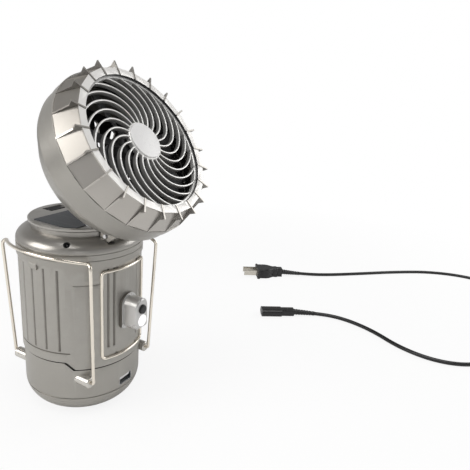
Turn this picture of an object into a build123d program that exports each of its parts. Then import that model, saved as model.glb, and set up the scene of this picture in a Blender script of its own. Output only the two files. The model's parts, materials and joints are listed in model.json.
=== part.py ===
from build123d import *
import math
import os

# Portable camping fan: a lift-up lantern with a tilting fan head on its cap.
# Millimetres.  +Z is up, the origin is the centre of the base's flat foot and
# the front (torch, USB port, blowing side) faces -Y.

# ---------------------------------------------------------------- clearances
JOINT_GAP = 0.3          # between parts that move past each other
PIN_GAP = 0.05           # radial clearance of a pin in its bore
SEAT_GAP = 0.02          # between pieces that are screwed or clipped together
OVERCUT = 1.0            # how far a cut runs past the face that it leaves

# ---------------------------------------------------------------- base
BASE_R = 43.0
BASE_ROUND = 20.0        # large round between wall and foot
BASE_WALL = 2.2
BASE_TOP_Z = 46.8        # rim at the sides and the back
BASE_FRONT_Z = 41.0      # rim in the stepped front notch
NOTCH_TOP_HALF = 38.2    # half width of the notch at the high rim
NOTCH_LOW_HALF = 34.8    # half width of the notch at the low rim
SEAM_W = 0.6             # rebate along the rim, a line under the sleeve
SEAM_DEPTH = 0.8
FOOT_R = 20.0            # screwed-on foot plate
FOOT_T = 3.0
FOOT_RECESS = 0.8        # the cup's foot ring stands this far below the plate
FLOOR_T = 1.4            # base's floor over the foot plate
RING_Z = 17.0            # moulded line round the base
LINE_W = 0.9             # width of the moulded lines
LINE_DEPTH = 0.5
PAD_R = 4.0
PAD_PCR = 12.8           # radius of the circle that the pads lie on

BATTERY_SIZE = (38.0, 26.0, 21.0)
BATTERY_EDGE_R = 2.0
BOARD_SIZE = (40.0, 34.0, 1.6)
BOARD_CORNER_R = 3.0
DECK_Z = 36.0            # deck that carries the lamp globe
DECK_T = 2.0
DECK_POST_R = 2.5
DECK_POST_INSET = 4.4    # from the board's edges to each post's middle

GLOBE_INSET = 2.8        # globe's wall inside the base's bore
GLOBE_R = BASE_R - BASE_WALL - GLOBE_INSET
GLOBE_WALL = 1.5
GLOBE_H = 84.0
GLOBE_ROUND = 6.0
LED_COLUMN_R = 9.0
LED_COLUMN_H = 74.0
LED_STRIP_W = 6.0
LED_STRIP_T = 1.0
LED_COUNT = 6

# ---------------------------------------------------------------- bails
BAIL_PIVOT_INSET = 12.0  # from the base's side to the pivots
BAIL_PIVOT_X = BASE_R - BAIL_PIVOT_INSET
BAIL_PIVOT_Z = 33.0
BOSS_R = 4.0
BOSS_INSET = 5.6         # a boss's outer face inside the base's front
BOSS_OUT_Y = BASE_R - BOSS_INSET
BOSS_LENGTH = 16.6
BOSS_EDGE = 0.5
BAIL_WIRE_R = 1.2
BAIL_STANDOFF = 1.2      # leg's wire clear of the boss
BAIL_FOOT_HALF_W = BOSS_OUT_Y + BAIL_WIRE_R + BAIL_STANDOFF
BAIL_SPLAY = 2.4         # each leg's way outwards from foot to corner
BAIL_TOP_HALF_W = BAIL_FOOT_HALF_W + BAIL_SPLAY
BAIL_H = 92.4            # pivot axis to the corners
BAIL_RISE = 2.4          # middle of the cross bar over its corners
BAIL_LEAN = 2.5          # degrees, outwards at rest
BAIL_CORNER_R = 5.0
BAIL_ELBOW_R = 2.3       # between a leg and its pin
BAIL_BOW = 11.8          # cross bar's bulge round the sleeve
BAIL_PIN_DEPTH = 6.0     # bent wire end, from the leg's centre line
CORNER_PULL = 0.55       # share of the chord that rounds a bent corner

# ---------------------------------------------------------------- sleeve
SLEEVE_STEP = 0.8        # sleeve's foot past the base's wall
SLEEVE_R_LOW = BASE_R + SLEEVE_STEP
SLEEVE_TAPER = 0.3
SLEEVE_R_TOP = SLEEVE_R_LOW + SLEEVE_TAPER
SLEEVE_WALL = 1.8
COLLAR_PROUD = 0.9
COLLAR_R = SLEEVE_R_TOP + COLLAR_PROUD
COLLAR_Z = 118.0
COLLAR_STEP = 1.6        # height of the chamfer under the collar
SLEEVE_TOP_Z = 129.4
COLLAR_LINES_Z = (124.0, 128.2)
COLLAR_LINE_W = 0.5
FLUTE_R = 1.1
FLUTE_DEPTH = 0.7
FLUTE_Z = (56.0, 117.0)
SIDE_FLUTE_STEP = 13.2   # degrees between flutes
SIDE_FLUTE_MIDDLE = 93.0
SIDE_FLUTES = 5
FRONT_FLUTE_ANGLES = (16.0, 22.0)
FIELD_LINE_Z = 54.5      # ledge under the side flutes
FIELD_HALF_ANGLE = 36.0
PANEL_LINE_Z = 106.5     # short line beside the wire frame
PANEL_ANGLES = (30.0, 53.0)
GUIDE_H = 4.0            # ring inside the sleeve's foot that slides on the globe
GUIDE_LIP = 1.2
CLIP_SIZE = (4.6, 7.0, 1.2)  # height, width and how far it stands off the wall
CLIP_Z = 117.6

# ---------------------------------------------------------------- cap
SHOULDER_RISE = 8.4
SHOULDER_INSET = 0.6     # the dome's flat top reaches this far under the neck
SHOULDER_LAND = 4.0
SPIGOT_H = 3.0
NECK_INSET = 10.6        # cap's neck inside the collar
CAP_NECK_R = COLLAR_R - NECK_INSET
CAP_LIP_W = 2.0
CAP_LIP_R = CAP_NECK_R + CAP_LIP_W
CAP_Z = 144.5
CAP_LIP_H = 3.4
CAP_LIP_SLOPE = 1.2
CAP_EDGE = 0.8
CAP_WALL = 2.0
SOLAR_SIZE = (63.0, 36.0, 1.6)
SOLAR_Y = -5.0
SOLAR_PROUD = 0.5
SOLAR_RIM = 1.2          # cap's edge left round the panel
SOLAR_CORNER_R = 1.0
SWITCH_WELL = (17.0, 10.0, 3.4)
SWITCH_INSET = 8.9       # rocker's middle inside the cap's neck
SWITCH_Y = CAP_NECK_R - SWITCH_INSET
ROCKER_SIZE = (12.0, 6.4, 3.2)
ROCKER_AXIS_UP = 1.92    # pivot over the well's floor
ROCKER_FOOT = 0.64       # below the pivot
ROCKER_TOP = 1.6         # ends over the pivot
ROCKER_DISH = 0.96       # middle below the ends
ROCKER_PLAY = (1.0, 1.6)
FRAME_DROP = 1.0         # rocker's frame below the cap
JACK_R = 2.3
JACK_ANGLE = -58.0       # degrees from the front, towards -X
JACK_Z = 134.6
JACK_INSET = 3.4         # jack's mouth inside the collar
JACK_FROM_AXIS = COLLAR_R - JACK_INSET
JACK_TILT = 52.0         # degrees from straight up
JACK_LENGTH = 6.0
JACK_WALL = 0.5
JACK_FLOOR_T = 1.0
JACK_PIN_R = 0.6

# ---------------------------------------------------------------- torch
TORCH_Z = 81.4
TORCH_W = 13.0
TORCH_H = 23.0
TORCH_FLANGE = 1.6       # rim of the mounting flange past the housing
TORCH_FLANGE_T = 1.9
TORCH_REACH = 13.6       # front face, from the sleeve's wall
TORCH_WALL = 1.6
TORCH_FOOT_R = 2.5       # rounding of the outline's lower corners
TORCH_EDGE = 0.9         # bevel of the front edge
TORCH_LENS_R = 4.3
TORCH_LENS_PROUD = 0.4
TORCH_LENS_DROP = 5.4    # lens centre below the housing's centre
TORCH_BUTTON_R = 3.3
TORCH_BUTTON_RISE = 3.5
TORCH_BUTTON_PROUD = 1.6
TORCH_BUTTON_ROUND = 0.8
TORCH_BUTTON_RIM = 0.8   # its inner flange past the button
TORCH_BUTTON_TRAVEL = 1.2
REFLECTOR_DEPTH = 6.0
REFLECTOR_R = 1.6        # at its small end
REFLECTOR_WALL = 0.8

GUARD_HALF_ANGLE = 28.5  # degrees each side of the front
GUARD_Z = (48.0, 115.0)
GUARD_WIRE_R = 1.1
GUARD_CORNER_R = 3.0
GUARD_SINK = 0.5
GUARD_PULL = 0.4         # share of the chord that rounds a corner
GUARD_POCKET = (2.6, 1.0, 4.2)   # clip pockets behind the wire
GUARD_POCKET_ANGLE = 14.0

# ---------------------------------------------------------------- sockets
USB_SIZE = (13.4, 12.0, 7.0)
USB_X = 0.0
USB_Z = 22.6
USB_WALL = 0.5
USB_SINK = 0.6
USB_TONGUE_T = 1.8
USB_TONGUE_RISE = 1.2
INLET_Z = 24.0
INLET_DEPTH = 12.0
INLET_WALL = 1.2
INLET_SINK = 0.3
INLET_FIT = 0.6          # play of the connector in the inlet, over its full width
INLET_PIN_R = 1.2
INLET_PIN_GAP = 8.4
INLET_PIN_SINK = 1.0

# ---------------------------------------------------------------- fan head
HEAD_TILT = 55.1         # degrees forward from lying flat on the cap
HINGE_FROM_EDGE = 8.0    # hinge axis inside the collar
HINGE_Y = HINGE_FROM_EDGE - COLLAR_R
HINGE_Z = 139.0
HEAD_DEPTH = 47.0
HEAD_WALL = 2.0
BAND_R = 58.4            # widest part of the head
BAND_Z = 24.0            # seam between back shell and band
BEZEL_Z = 31.3           # seam between band and finned drum
BACK_TAPER = 9.4         # the back's flat inside the band
BACK_R = BAND_R - BACK_TAPER
BACK_EDGE = (3.0, 1.4)   # bevel round the back's flat
BACK_ROUND_Z = 16.0      # the back's shoulder ends here
BACK_ROUND = (1.0, 3.0)  # bevel at the shoulder's end
BACK_STEP = 0.6          # back shell inside the band
BEZEL_STEP = 0.8         # drum inside the band
BEZEL_BACK_R = BAND_R - BEZEL_STEP
BEZEL_TAPER = 6.2
BEZEL_FRONT_R = BEZEL_BACK_R - BEZEL_TAPER
BEZEL_RIM_H = 1.0
OPENING_INSET = 4.8      # width of the drum's front ring
OPENING_R = BEZEL_FRONT_R - OPENING_INSET
LIP_T = 2.4
FINS = 22                # one grille blade runs to each fin
FIN_PHASE = 3.1          # degrees from +X to the first fin
FIN_T = 1.1
FIN_REACH = 5.4
FIN_TIP_R = BEZEL_FRONT_R + FIN_REACH
FIN_PROUD = 0.5          # over the front ring
FIN_HOOK = (1.5, 3.6)    # hollow of the edge under the tip: inwards, down
BACK_SLOTS = 16
SLOT_W = 3.2
SLOT_R = (18.0, 41.0)

GRILLE_SINK = 1.9        # grille below the front ring
GRILLE_BLADE_T = 1.1
GRILLE_BLADE_H = 3.4
GRILLE_BLADE_STEPS = 6
GRILLE_SWEEP = 55.0      # degrees that a blade turns on its way out
GRILLE_CURVE = 1.7       # 1 turns evenly, more leaves the badge straighter
GRILLE_RING_T = 1.4
GRILLE_LEDGE_T = 1.2     # flange of the grille behind the drum's front ring
GRILLE_LEDGE_W = 1.2
BADGE_R = 13.4
BADGE_T = 1.6
BADGE_RIM = 1.0          # grille's hub round the badge
BADGE_ROUND = 0.6

MOTOR_R = 12.0
MOTOR_H = 17.0
MOTOR_EDGE_R = 1.5
MOTOR_NECK_R = 5.0
MOTOR_NECK_H = 1.2
MOTOR_SHAFT_R = 1.0
MOTOR_CUP_H = 12.0
MOTOR_CUP_WALL = 2.0
MOTOR_CUP_FLOOR = 3.0
SHAFT_ROOT = 8.0         # end of the shaft over the back shell's floor
IMPELLER_INSET = 3.6     # blade tips inside the opening
IMPELLER_R = OPENING_R - IMPELLER_INSET
IMPELLER_HUB_R = 13.4
IMPELLER_HUB_ROUND = 3.0
IMPELLER_HUB_WALL = 1.6
IMPELLER_HUB_TOP = 2.0
IMPELLER_BOSS_R = 3.0
IMPELLER_BLADES = 7
IMPELLER_Z = (25.0, 38.0)
IMPELLER_BLADE_T = 1.6
IMPELLER_TIP_T = 1.1
IMPELLER_ROOT_CHORD = 11.1
IMPELLER_TIP_CHORD = 18.8
IMPELLER_PITCH = 38.0    # degrees of the blade to the disc at its root
IMPELLER_TIP_PITCH = 24.0
BLADE_ROOT = 1.0         # of each impeller blade inside the hub
SCREW_R = 1.4
SCREW_HEAD_R = 2.6
SCREW_HEAD_H = 1.6
SCREW_SLOT_W = 0.65
HEAD_SCREW_INSET = 4.0
HEAD_SCREW_R = BACK_R - HEAD_SCREW_INSET
HEAD_SCREWS = 4
HEAD_SCREW_LENGTH = 12.0
HEAD_POST_R = 3.1
HEAD_POST_TOP = 2.0      # post's end under the band's seam
FOOT_SCREWS = 3
FOOT_SCREW_PCR = 16.0
FOOT_POST_R = 2.6
FOOT_POST_H = 8.0
FOOT_SCREW_LENGTH = 8.0

HINGE_INSET = 6.9        # hinge inside the back's flat
HINGE_DROP = BACK_R - HINGE_INSET
HINGE_BACK = 9.5         # head's back plane to hinge axis
HINGE_PIN_R = 1.5
HINGE_PIN_END = 1.2      # pin past each arm
KNUCKLE_R = 4.6
BRIDGE_LENGTH = 11.0     # web from the knuckle into the cap
BRIDGE_BELOW = 1.8
ARM_W = 4.0
ARM_INNER_X = 11.0
YOKE_PLATE_T = 2.0

# ---------------------------------------------------------------- supply cord
CORD_R = 2.0
PLUG_BODY = (26.0, 12.0)     # width and thickness at the flange
PLUG_LENGTH = 34.0
PLUG_FLANGE_T = 3.0
PLUG_NECK = (3.4, 6.0)       # half width, and distance from the cord's exit
PLUG_COLLAR = (5.2, 7.5, 10.0)
PLUG_WAIST = (4.4, 12.0)
PLUG_SHOULDER = (9.0, 18.0)
PLUG_SIDE = (10.4, 22.0)
PLUG_BLADE = (6.3, 1.5, 17.0)
PLUG_BLADE_GAP = 12.7
PLUG_BLADE_ROOT = 4.0        # of each blade inside the body
PLUG_EDGE = 1.0
CONNECTOR_SIZE = (14.0, 8.2, 36.0)
CONNECTOR_CORNER_R = 3.6
CONNECTOR_GRIP = (9.4, 7.6, 14.0)
CONNECTOR_HOLE_R = 1.7
CONNECTOR_HOLE_DEPTH = 10.0
COIL_CENTRE = (345.0, -322.0)
COIL_MEAN_R = 23.0
COIL_TURNS_WIDE = 2
COIL_TURNS_HIGH = 2
COIL_EDGE_R = 1.2
CONNECTOR_EXIT = (223.0, -93.0)
PLUG_EXIT = (322.0, -36.0)
END_TURN = 35.0          # degrees; both ends lie turned to the left
RUN_SHARE = 0.45         # share of its shorter run that each arc takes
CONNECTOR_ROUTE = ((234.0, -109.0), (246.0, -138.0), (238.0, -176.0), (216.0, -212.0), (211.0, -250.0),
                   (228.0, -283.0), (264.0, -300.0), (302.0, -303.0), (338.0, -299.0))
PLUG_ROUTE = ((334.0, -53.0), (356.0, -82.0), (394.0, -122.0), (434.0, -162.0), (468.0, -204.0),
              (484.0, -252.0), (474.0, -298.0), (444.0, -322.0), (406.0, -318.0), (376.0, -302.0),
              (350.0, -298.0))

SIDES = (-1, 1)

os.makedirs("parts", exist_ok=True)


# ---------------------------------------------------------------- helpers
def save(name, shape):
    """Writes one named piece."""
    solids = shape.solids()
    out = solids[0] if len(solids) == 1 else Compound(children=list(solids))
    export_step(out, f"parts/{name}.step")


def group(shapes):
    """Several separate solids as one piece."""
    return Compound(children=[shape.solid() for shape in shapes])


def tube(r_out, r_in, z0, z1):
    """Plain ring between two heights."""
    return Pos(0, 0, z0) * extrude(Circle(r_out) - Circle(r_in), z1 - z0)


def disc(radius, z0, z1):
    """Plain cylinder between two heights."""
    return Pos(0, 0, z0) * extrude(Circle(radius), z1 - z0)


def block(size, centre):
    """Box by its size and centre."""
    return Pos(*centre) * Box(*size)


def lathe(*points):
    """Solid of revolution about Z from an outline of (radius, z) points."""
    outline = make_face(Polyline(*[(r, 0, z) for r, z in points], close=True))
    return revolve(outline, Axis.Z, 360)


def front_angle(radius, degrees, z):
    """Point on a cylinder; the angle runs from the front (-Y) towards +X."""
    a = math.radians(degrees)
    return (radius * math.sin(a), -radius * math.cos(a), z)


def around(shape, count):
    """The shape repeated evenly about Z."""
    return [Rot(0, 0, i * 360.0 / count) * shape for i in range(count)]


def bar_x(radius, x0, x1, y, z):
    """Cylinder along X."""
    return Pos(x0, y, z) * Rot(0, 90, 0) * extrude(Circle(radius), x1 - x0)


def bar_y(radius, y0, y1, x, z):
    """Cylinder along Y."""
    return Pos(x, y0, z) * Rot(-90, 0, 0) * extrude(Circle(radius), y1 - y0)


def cone_y(r_near, r_far, length, y, z):
    """Cone along Y whose near end is at y."""
    cone = Cone(r_near, r_far, length, align=(Align.CENTER, Align.CENTER, Align.MIN))
    return Pos(0, y, z) * Rot(-90, 0, 0) * cone


def wall_line(radius, z, width, a0, a1):
    """Cut for a line moulded into the wall, from one front angle to another."""
    ring = tube(radius + OVERCUT, radius - LINE_DEPTH, z - width / 2, z + width / 2)
    corners = [(0, 0)] + [front_angle(2 * radius, a, 0)[:2] for a in (a0, (a0 + a1) / 2, a1)]
    wedge = extrude(make_face(Polyline(*corners, close=True)), z + width)
    return ring & wedge


def screw(length):
    """Pan head screw, head on top, its seat at z = 0."""
    head = fillet(disc(SCREW_HEAD_R, 0, SCREW_HEAD_H).edges().sort_by(Axis.Z)[-1], SCREW_HEAD_H / 2)
    cross = block((SCREW_HEAD_R, SCREW_SLOT_W, SCREW_HEAD_H), (0, 0, SCREW_HEAD_H))
    return head + disc(SCREW_R, -length, 0) - cross - Rot(0, 0, 90) * cross


# ---------------------------------------------------------------- base
def notch_prism(gap, low_z):
    """Stepped front notch shared by the base's rim and the sleeve's apron."""
    high = BASE_TOP_Z + BASE_WALL
    slope = (NOTCH_TOP_HALF - NOTCH_LOW_HALF) / (BASE_TOP_Z - BASE_FRONT_Z)
    top_half = NOTCH_LOW_HALF + slope * (high - BASE_FRONT_Z) - gap
    low_half = NOTCH_LOW_HALF + slope * (low_z - BASE_FRONT_Z) - gap
    side = Polyline((-top_half, high), (-low_half, low_z), (low_half, low_z), (top_half, high), close=True)
    return Rot(90, 0, 0) * extrude(make_face(side), BASE_R + BASE_WALL)


def base_radius(z):
    """Outer radius of the base at a height."""
    below = max(0.0, BASE_ROUND - z)
    return BASE_R - BASE_ROUND + math.sqrt(BASE_ROUND ** 2 - below ** 2)


def foot_top_z():
    """Underside of the base's floor, where the foot plate ends."""
    return FOOT_RECESS + FOOT_T


def base_shell():
    floor_z = foot_top_z() + FLOOR_T
    outer = fillet(disc(BASE_R, 0, BASE_TOP_Z).edges().sort_by(Axis.Z)[0], BASE_ROUND)
    core = disc(BASE_R - BASE_WALL, floor_z, BASE_TOP_Z)
    inner = fillet(core.edges().sort_by(Axis.Z)[0], BASE_ROUND - BASE_WALL)
    shell = outer - inner - notch_prism(0, BASE_FRONT_Z)
    skin = tube(BASE_R + OVERCUT, BASE_R - SEAM_DEPTH, BASE_FRONT_Z - BASE_WALL, BASE_TOP_Z)
    high_rim = tube(BASE_R + OVERCUT, BASE_R - SEAM_DEPTH, BASE_TOP_Z - SEAM_W, BASE_TOP_Z)
    shell -= high_rim
    shell -= skin & notch_prism(-SEAM_W, BASE_FRONT_Z - SEAM_W)
    shell -= disc(FOOT_R + SEAT_GAP, 0, foot_top_z())
    line_r = base_radius(RING_Z)
    shell -= tube(BASE_R + OVERCUT, line_r - LINE_DEPTH, RING_Z - LINE_W / 2, RING_Z + LINE_W / 2)
    for spot in around(Pos(FOOT_SCREW_PCR, 0, 0), FOOT_SCREWS):
        shell += spot * disc(FOOT_POST_R, foot_top_z(), foot_top_z() + FOOT_POST_H)
        shell -= spot * disc(SCREW_R + SEAT_GAP, 0, foot_top_z() + FOOT_POST_H)
    usb = block((USB_SIZE[0] + 2 * SEAT_GAP, BASE_R, USB_SIZE[2] + 2 * SEAT_GAP), (USB_X, -BASE_R, USB_Z))
    inlet_w, inlet_h = inlet_outside()
    inlet = block((inlet_w + 2 * SEAT_GAP, BASE_R, inlet_h + 2 * SEAT_GAP), (0, BASE_R, INLET_Z))
    shell = shell - usb - inlet
    for sx in SIDES:
        for sy in SIDES:
            shell -= boss_bar(sx, sy, SEAT_GAP)
    return shell


def boss_bar(sx, sy, gap=0.0):
    """One bail boss, a round stub through the base's wall."""
    y0, y1 = sorted((sy * (BOSS_OUT_Y - BOSS_LENGTH), sy * BOSS_OUT_Y))
    return bar_y(BOSS_R + gap, y0 - gap, y1 + gap, sx * BAIL_PIVOT_X, BAIL_PIVOT_Z)


def bail_bosses():
    solids = []
    for sx in SIDES:
        for sy in SIDES:
            boss = boss_bar(sx, sy)
            end = boss.faces().sort_by(Axis.Y)[-1 if sy > 0 else 0]
            boss = chamfer(end.edges(), BOSS_EDGE)
            inner = sy * (BAIL_FOOT_HALF_W - BAIL_PIN_DEPTH - PIN_GAP)
            y0, y1 = sorted((inner, sy * BAIL_FOOT_HALF_W))
            hole = bar_y(BAIL_WIRE_R + PIN_GAP, y0, y1, sx * BAIL_PIVOT_X, BAIL_PIVOT_Z)
            solids.append(boss - hole)
    return group(solids)


def foot_plate():
    z0 = FOOT_RECESS
    plate = disc(FOOT_R, z0, foot_top_z())
    for spot in around(Pos(FOOT_SCREW_PCR, 0, 0), FOOT_SCREWS):
        plate -= spot * disc(SCREW_R + SEAT_GAP, 0, foot_top_z())
        plate -= spot * disc(SCREW_HEAD_R + SEAT_GAP, 0, foot_seat_z())
    return plate


def foot_seat_z():
    """Height at which the foot screws' heads seat in their counterbores."""
    return FOOT_RECESS + SCREW_HEAD_H + 2 * SEAT_GAP


def foot_pads():
    """Soft pads stuck under the plate; the lantern stands on them and the rim."""
    return group(around(Pos(0, -PAD_PCR, 0) * disc(PAD_R, 0, FOOT_RECESS), FOOT_SCREWS))


def foot_screws():
    body = Rot(180, 0, 0) * screw(FOOT_SCREW_LENGTH)
    return group(around(Pos(FOOT_SCREW_PCR, 0, foot_seat_z()) * body, FOOT_SCREWS))


def base_inside():
    """Battery on the foot posts, board on the battery, deck on the board's posts."""
    battery_z = foot_top_z() + FOOT_POST_H
    battery = fillet(Box(*BATTERY_SIZE).edges().filter_by(Axis.Z), BATTERY_EDGE_R)
    board_z = battery_z + BATTERY_SIZE[2]
    board_w, board_d, board_t = BOARD_SIZE
    board = Pos(0, 0, board_z) * extrude(RectangleRounded(board_w, board_d, BOARD_CORNER_R), board_t)
    deck = disc(BASE_R - BASE_WALL - SEAT_GAP, DECK_Z, DECK_Z + DECK_T)
    post_x, post_y = board_w / 2 - DECK_POST_INSET, board_d / 2 - DECK_POST_INSET
    for sx in SIDES:
        for sy in SIDES:
            deck += Pos(sx * post_x, sy * post_y, 0) * disc(DECK_POST_R, board_z + board_t, DECK_Z)
            deck -= boss_bar(sx, sy, SEAT_GAP)
    return Pos(0, 0, battery_z + BATTERY_SIZE[2] / 2) * battery, board, deck


def lamp():
    """Globe, LED column and its strips, standing on the deck."""
    z0 = DECK_Z + DECK_T
    outer = fillet(disc(GLOBE_R, z0, z0 + GLOBE_H).edges().sort_by(Axis.Z)[-1], GLOBE_ROUND)
    core = disc(GLOBE_R - GLOBE_WALL, z0, z0 + GLOBE_H - GLOBE_WALL)
    globe = outer - fillet(core.edges().sort_by(Axis.Z)[-1], GLOBE_ROUND - GLOBE_WALL)
    half = LED_COLUMN_R * math.cos(math.pi / LED_COUNT)
    column = Pos(0, 0, z0) * extrude(RegularPolygon(LED_COLUMN_R, LED_COUNT), LED_COLUMN_H)
    strip_h = LED_COLUMN_H - 2 * LED_STRIP_W
    strip = block((LED_STRIP_T, LED_STRIP_W, strip_h), (half + LED_STRIP_T / 2, 0, z0 + LED_COLUMN_H / 2))
    strips = around(Rot(0, 0, 180 / LED_COUNT) * strip, LED_COUNT)
    return globe, column, group(strips)


# ---------------------------------------------------------------- bails
def bent_wire(bars, pull, radius, closed):
    """Round wire through the bars, with a smooth bend from each to the next."""
    edges = []
    ends = bars[1:] + bars[:1] if closed else bars[1:]
    for bar, after in zip(bars, ends):
        p, q = bar @ 1, after @ 0
        span = (q - p).length * pull
        edges += [bar, Bezier(p, p + (bar % 1) * span, q - (after % 0) * span, q)]
    if not closed:
        edges.append(bars[-1])
    wire = Wire(edges)
    return sweep(Plane(origin=wire @ 0, z_dir=wire % 0) * Circle(radius), path=wire)


def bail(side):
    """Wire bail at rest on the -X (side = -1) or +X (side = 1) pivots."""
    lean = math.radians(BAIL_LEAN)

    def place(out, y, up):
        x = side * (BAIL_PIVOT_X + up * math.sin(lean) + out * math.cos(lean))
        return (x, y, BAIL_PIVOT_Z + up * math.cos(lean) - out * math.sin(lean))

    foot, top = BAIL_FOOT_HALF_W, BAIL_TOP_HALF_W
    pin_end = foot - BAIL_PIN_DEPTH
    elbow = BAIL_ELBOW_R
    leg_end = BAIL_H - BAIL_CORNER_R
    bar_end = top - BAIL_CORNER_R
    bar_middle = place(BAIL_BOW, 0, BAIL_H + BAIL_RISE)
    bars = [
        Line(place(0, -pin_end, 0), place(0, elbow - foot, 0)),
        Line(place(0, -foot, elbow), place(0, -top, leg_end)),
        ThreePointArc(place(0, -bar_end, BAIL_H), bar_middle, place(0, bar_end, BAIL_H)),
        Line(place(0, top, leg_end), place(0, foot, elbow)),
        Line(place(0, foot - elbow, 0), place(0, pin_end, 0)),
    ]
    return bent_wire(bars, CORNER_PULL, BAIL_WIRE_R, False)


# ---------------------------------------------------------------- sleeve
def wall_radius(z):
    """Outer radius of the tapered wall under the collar."""
    share = (z - BASE_FRONT_Z) / (COLLAR_Z - BASE_FRONT_Z)
    return SLEEVE_R_LOW + (SLEEVE_R_TOP - SLEEVE_R_LOW) * share


def flute(angle):
    """Round-bottomed groove up the sleeve's wall."""
    reach = FLUTE_R - FLUTE_DEPTH
    low, high = [front_angle(wall_radius(z) + reach, angle, z) for z in FLUTE_Z]
    path = Line(low, high)
    return sweep(Plane(origin=low, z_dir=path % 0) * Circle(FLUTE_R), path=path)


def sleeve_cuts():
    """Flutes, moulded lines and the wire frame's pockets."""
    middle = (SIDE_FLUTES - 1) / 2
    cuts = []
    for side in SIDES:
        for i in range(SIDE_FLUTES):
            cuts.append(flute(side * (SIDE_FLUTE_MIDDLE + (i - middle) * SIDE_FLUTE_STEP)))
        cuts += [flute(side * angle) for angle in FRONT_FLUTE_ANGLES]
        lines = ((FIELD_LINE_Z, SIDE_FLUTE_MIDDLE - FIELD_HALF_ANGLE, SIDE_FLUTE_MIDDLE + FIELD_HALF_ANGLE),
                 (PANEL_LINE_Z, *PANEL_ANGLES))
        cuts += [wall_line(wall_radius(z), z, LINE_W, side * a0, side * a1) for z, a0, a1 in lines]
        for z in GUARD_Z:
            pocket = block(GUARD_POCKET, (0, -wall_radius(z), z))
            cuts.append(Rot(0, 0, side * GUARD_POCKET_ANGLE) * pocket)
    for z in COLLAR_LINES_Z:
        half = COLLAR_LINE_W / 2
        cuts.append(tube(COLLAR_R + OVERCUT, COLLAR_R - LINE_DEPTH, z - half, z + half))
    return cuts


def sleeve_clip(side):
    """Nose under the bail's cross bar."""
    height, width, proud = CLIP_SIZE
    root = wall_radius(CLIP_Z) - SLEEVE_WALL / 2
    length = proud + SLEEVE_WALL / 2
    clip = block((length, width, height), (side * (root + length / 2), 0, CLIP_Z))
    tip = clip.faces().sort_by(Axis.X)[-1 if side > 0 else 0]
    return chamfer(tip.edges().filter_by(Axis.Y), proud / 2)


def outer_sleeve():
    z0 = BASE_FRONT_Z + JOINT_GAP
    top_in = COLLAR_R - SLEEVE_WALL
    low_in = wall_radius(z0) - SLEEVE_WALL
    shell = lathe(
        (wall_radius(z0), z0), (SLEEVE_R_TOP, COLLAR_Z), (COLLAR_R, COLLAR_Z + COLLAR_STEP),
        (COLLAR_R, SLEEVE_TOP_Z), (top_in, SLEEVE_TOP_Z), (top_in, COLLAR_Z + COLLAR_STEP),
        (SLEEVE_R_TOP - SLEEVE_WALL, COLLAR_Z), (low_in, z0))
    skirt = tube(SLEEVE_R_TOP + OVERCUT, low_in - BASE_WALL, z0 - JOINT_GAP, BASE_TOP_Z + JOINT_GAP)
    shell -= skirt - notch_prism(JOINT_GAP, z0)
    for cut in sleeve_cuts():
        shell -= cut
    wire_hole = (2 * GUARD_WIRE_R, 2 * SLEEVE_WALL + 2 * OVERCUT, 2 * GUARD_WIRE_R)
    shell -= block(wire_hole, (0, -wall_radius(TORCH_Z), TORCH_Z))
    for side in SIDES:
        shell += sleeve_clip(side)
    return shell


def guide_ring():
    """Ring snapped into the sleeve's foot; its lip slides on the globe."""
    z0 = BASE_TOP_Z + 2 * JOINT_GAP
    seat = wall_radius(z0) - SLEEVE_WALL - SEAT_GAP
    bore = GLOBE_R + JOINT_GAP
    return tube(seat, bore + GUIDE_LIP, z0, z0 + 2 * GUIDE_H) + tube(seat, bore, z0, z0 + GUIDE_H)


def dome(gap=0.0):
    """The shoulder's outside as a filled solid, grown by the gap."""
    z0 = SLEEVE_TOP_Z
    rim = CAP_NECK_R - SHOULDER_INSET
    across, rise = COLLAR_R - rim + gap, SHOULDER_RISE + gap
    arc = EllipticalCenterArc((rim, z0), across, rise, start_angle=0, arc_size=90)
    low = Polyline(arc @ 0, (0, z0), (0, z0 + rise), arc @ 1)
    return revolve(Rot(90, 0, 0) * make_face([arc.edge(), *low.edges()]), Axis.Z, 360)


def shoulder():
    """Domed ring between the sleeve and the cap, open in the middle."""
    z0 = SLEEVE_TOP_Z
    inner = CAP_NECK_R - CAP_WALL - SHOULDER_LAND
    top = z0 + SHOULDER_RISE
    hollow = lathe((0, z0), (COLLAR_R - SLEEVE_WALL, z0), (inner, top - CAP_WALL), (inner, top), (0, top))
    ring = dome() - hollow
    ring += tube(COLLAR_R - SLEEVE_WALL - SEAT_GAP, COLLAR_R - 2 * SLEEVE_WALL, z0 - SPIGOT_H, z0 + OVERCUT)
    ring -= at_jack(disc(JACK_R + SEAT_GAP, -JACK_LENGTH * 2, JACK_LENGTH))
    ring -= bar_x(HINGE_PIN_R + SEAT_GAP, -COLLAR_R, COLLAR_R, HINGE_Y, HINGE_Z)
    return ring - hinge_trough()


def at_jack(shape):
    """Places the charging jack's pieces square to the dome."""
    turned = Rot(0, 0, JACK_ANGLE) * Rot(JACK_TILT, 0, 0) * shape
    return Pos(*front_angle(JACK_FROM_AXIS, JACK_ANGLE, JACK_Z)) * turned


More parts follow.
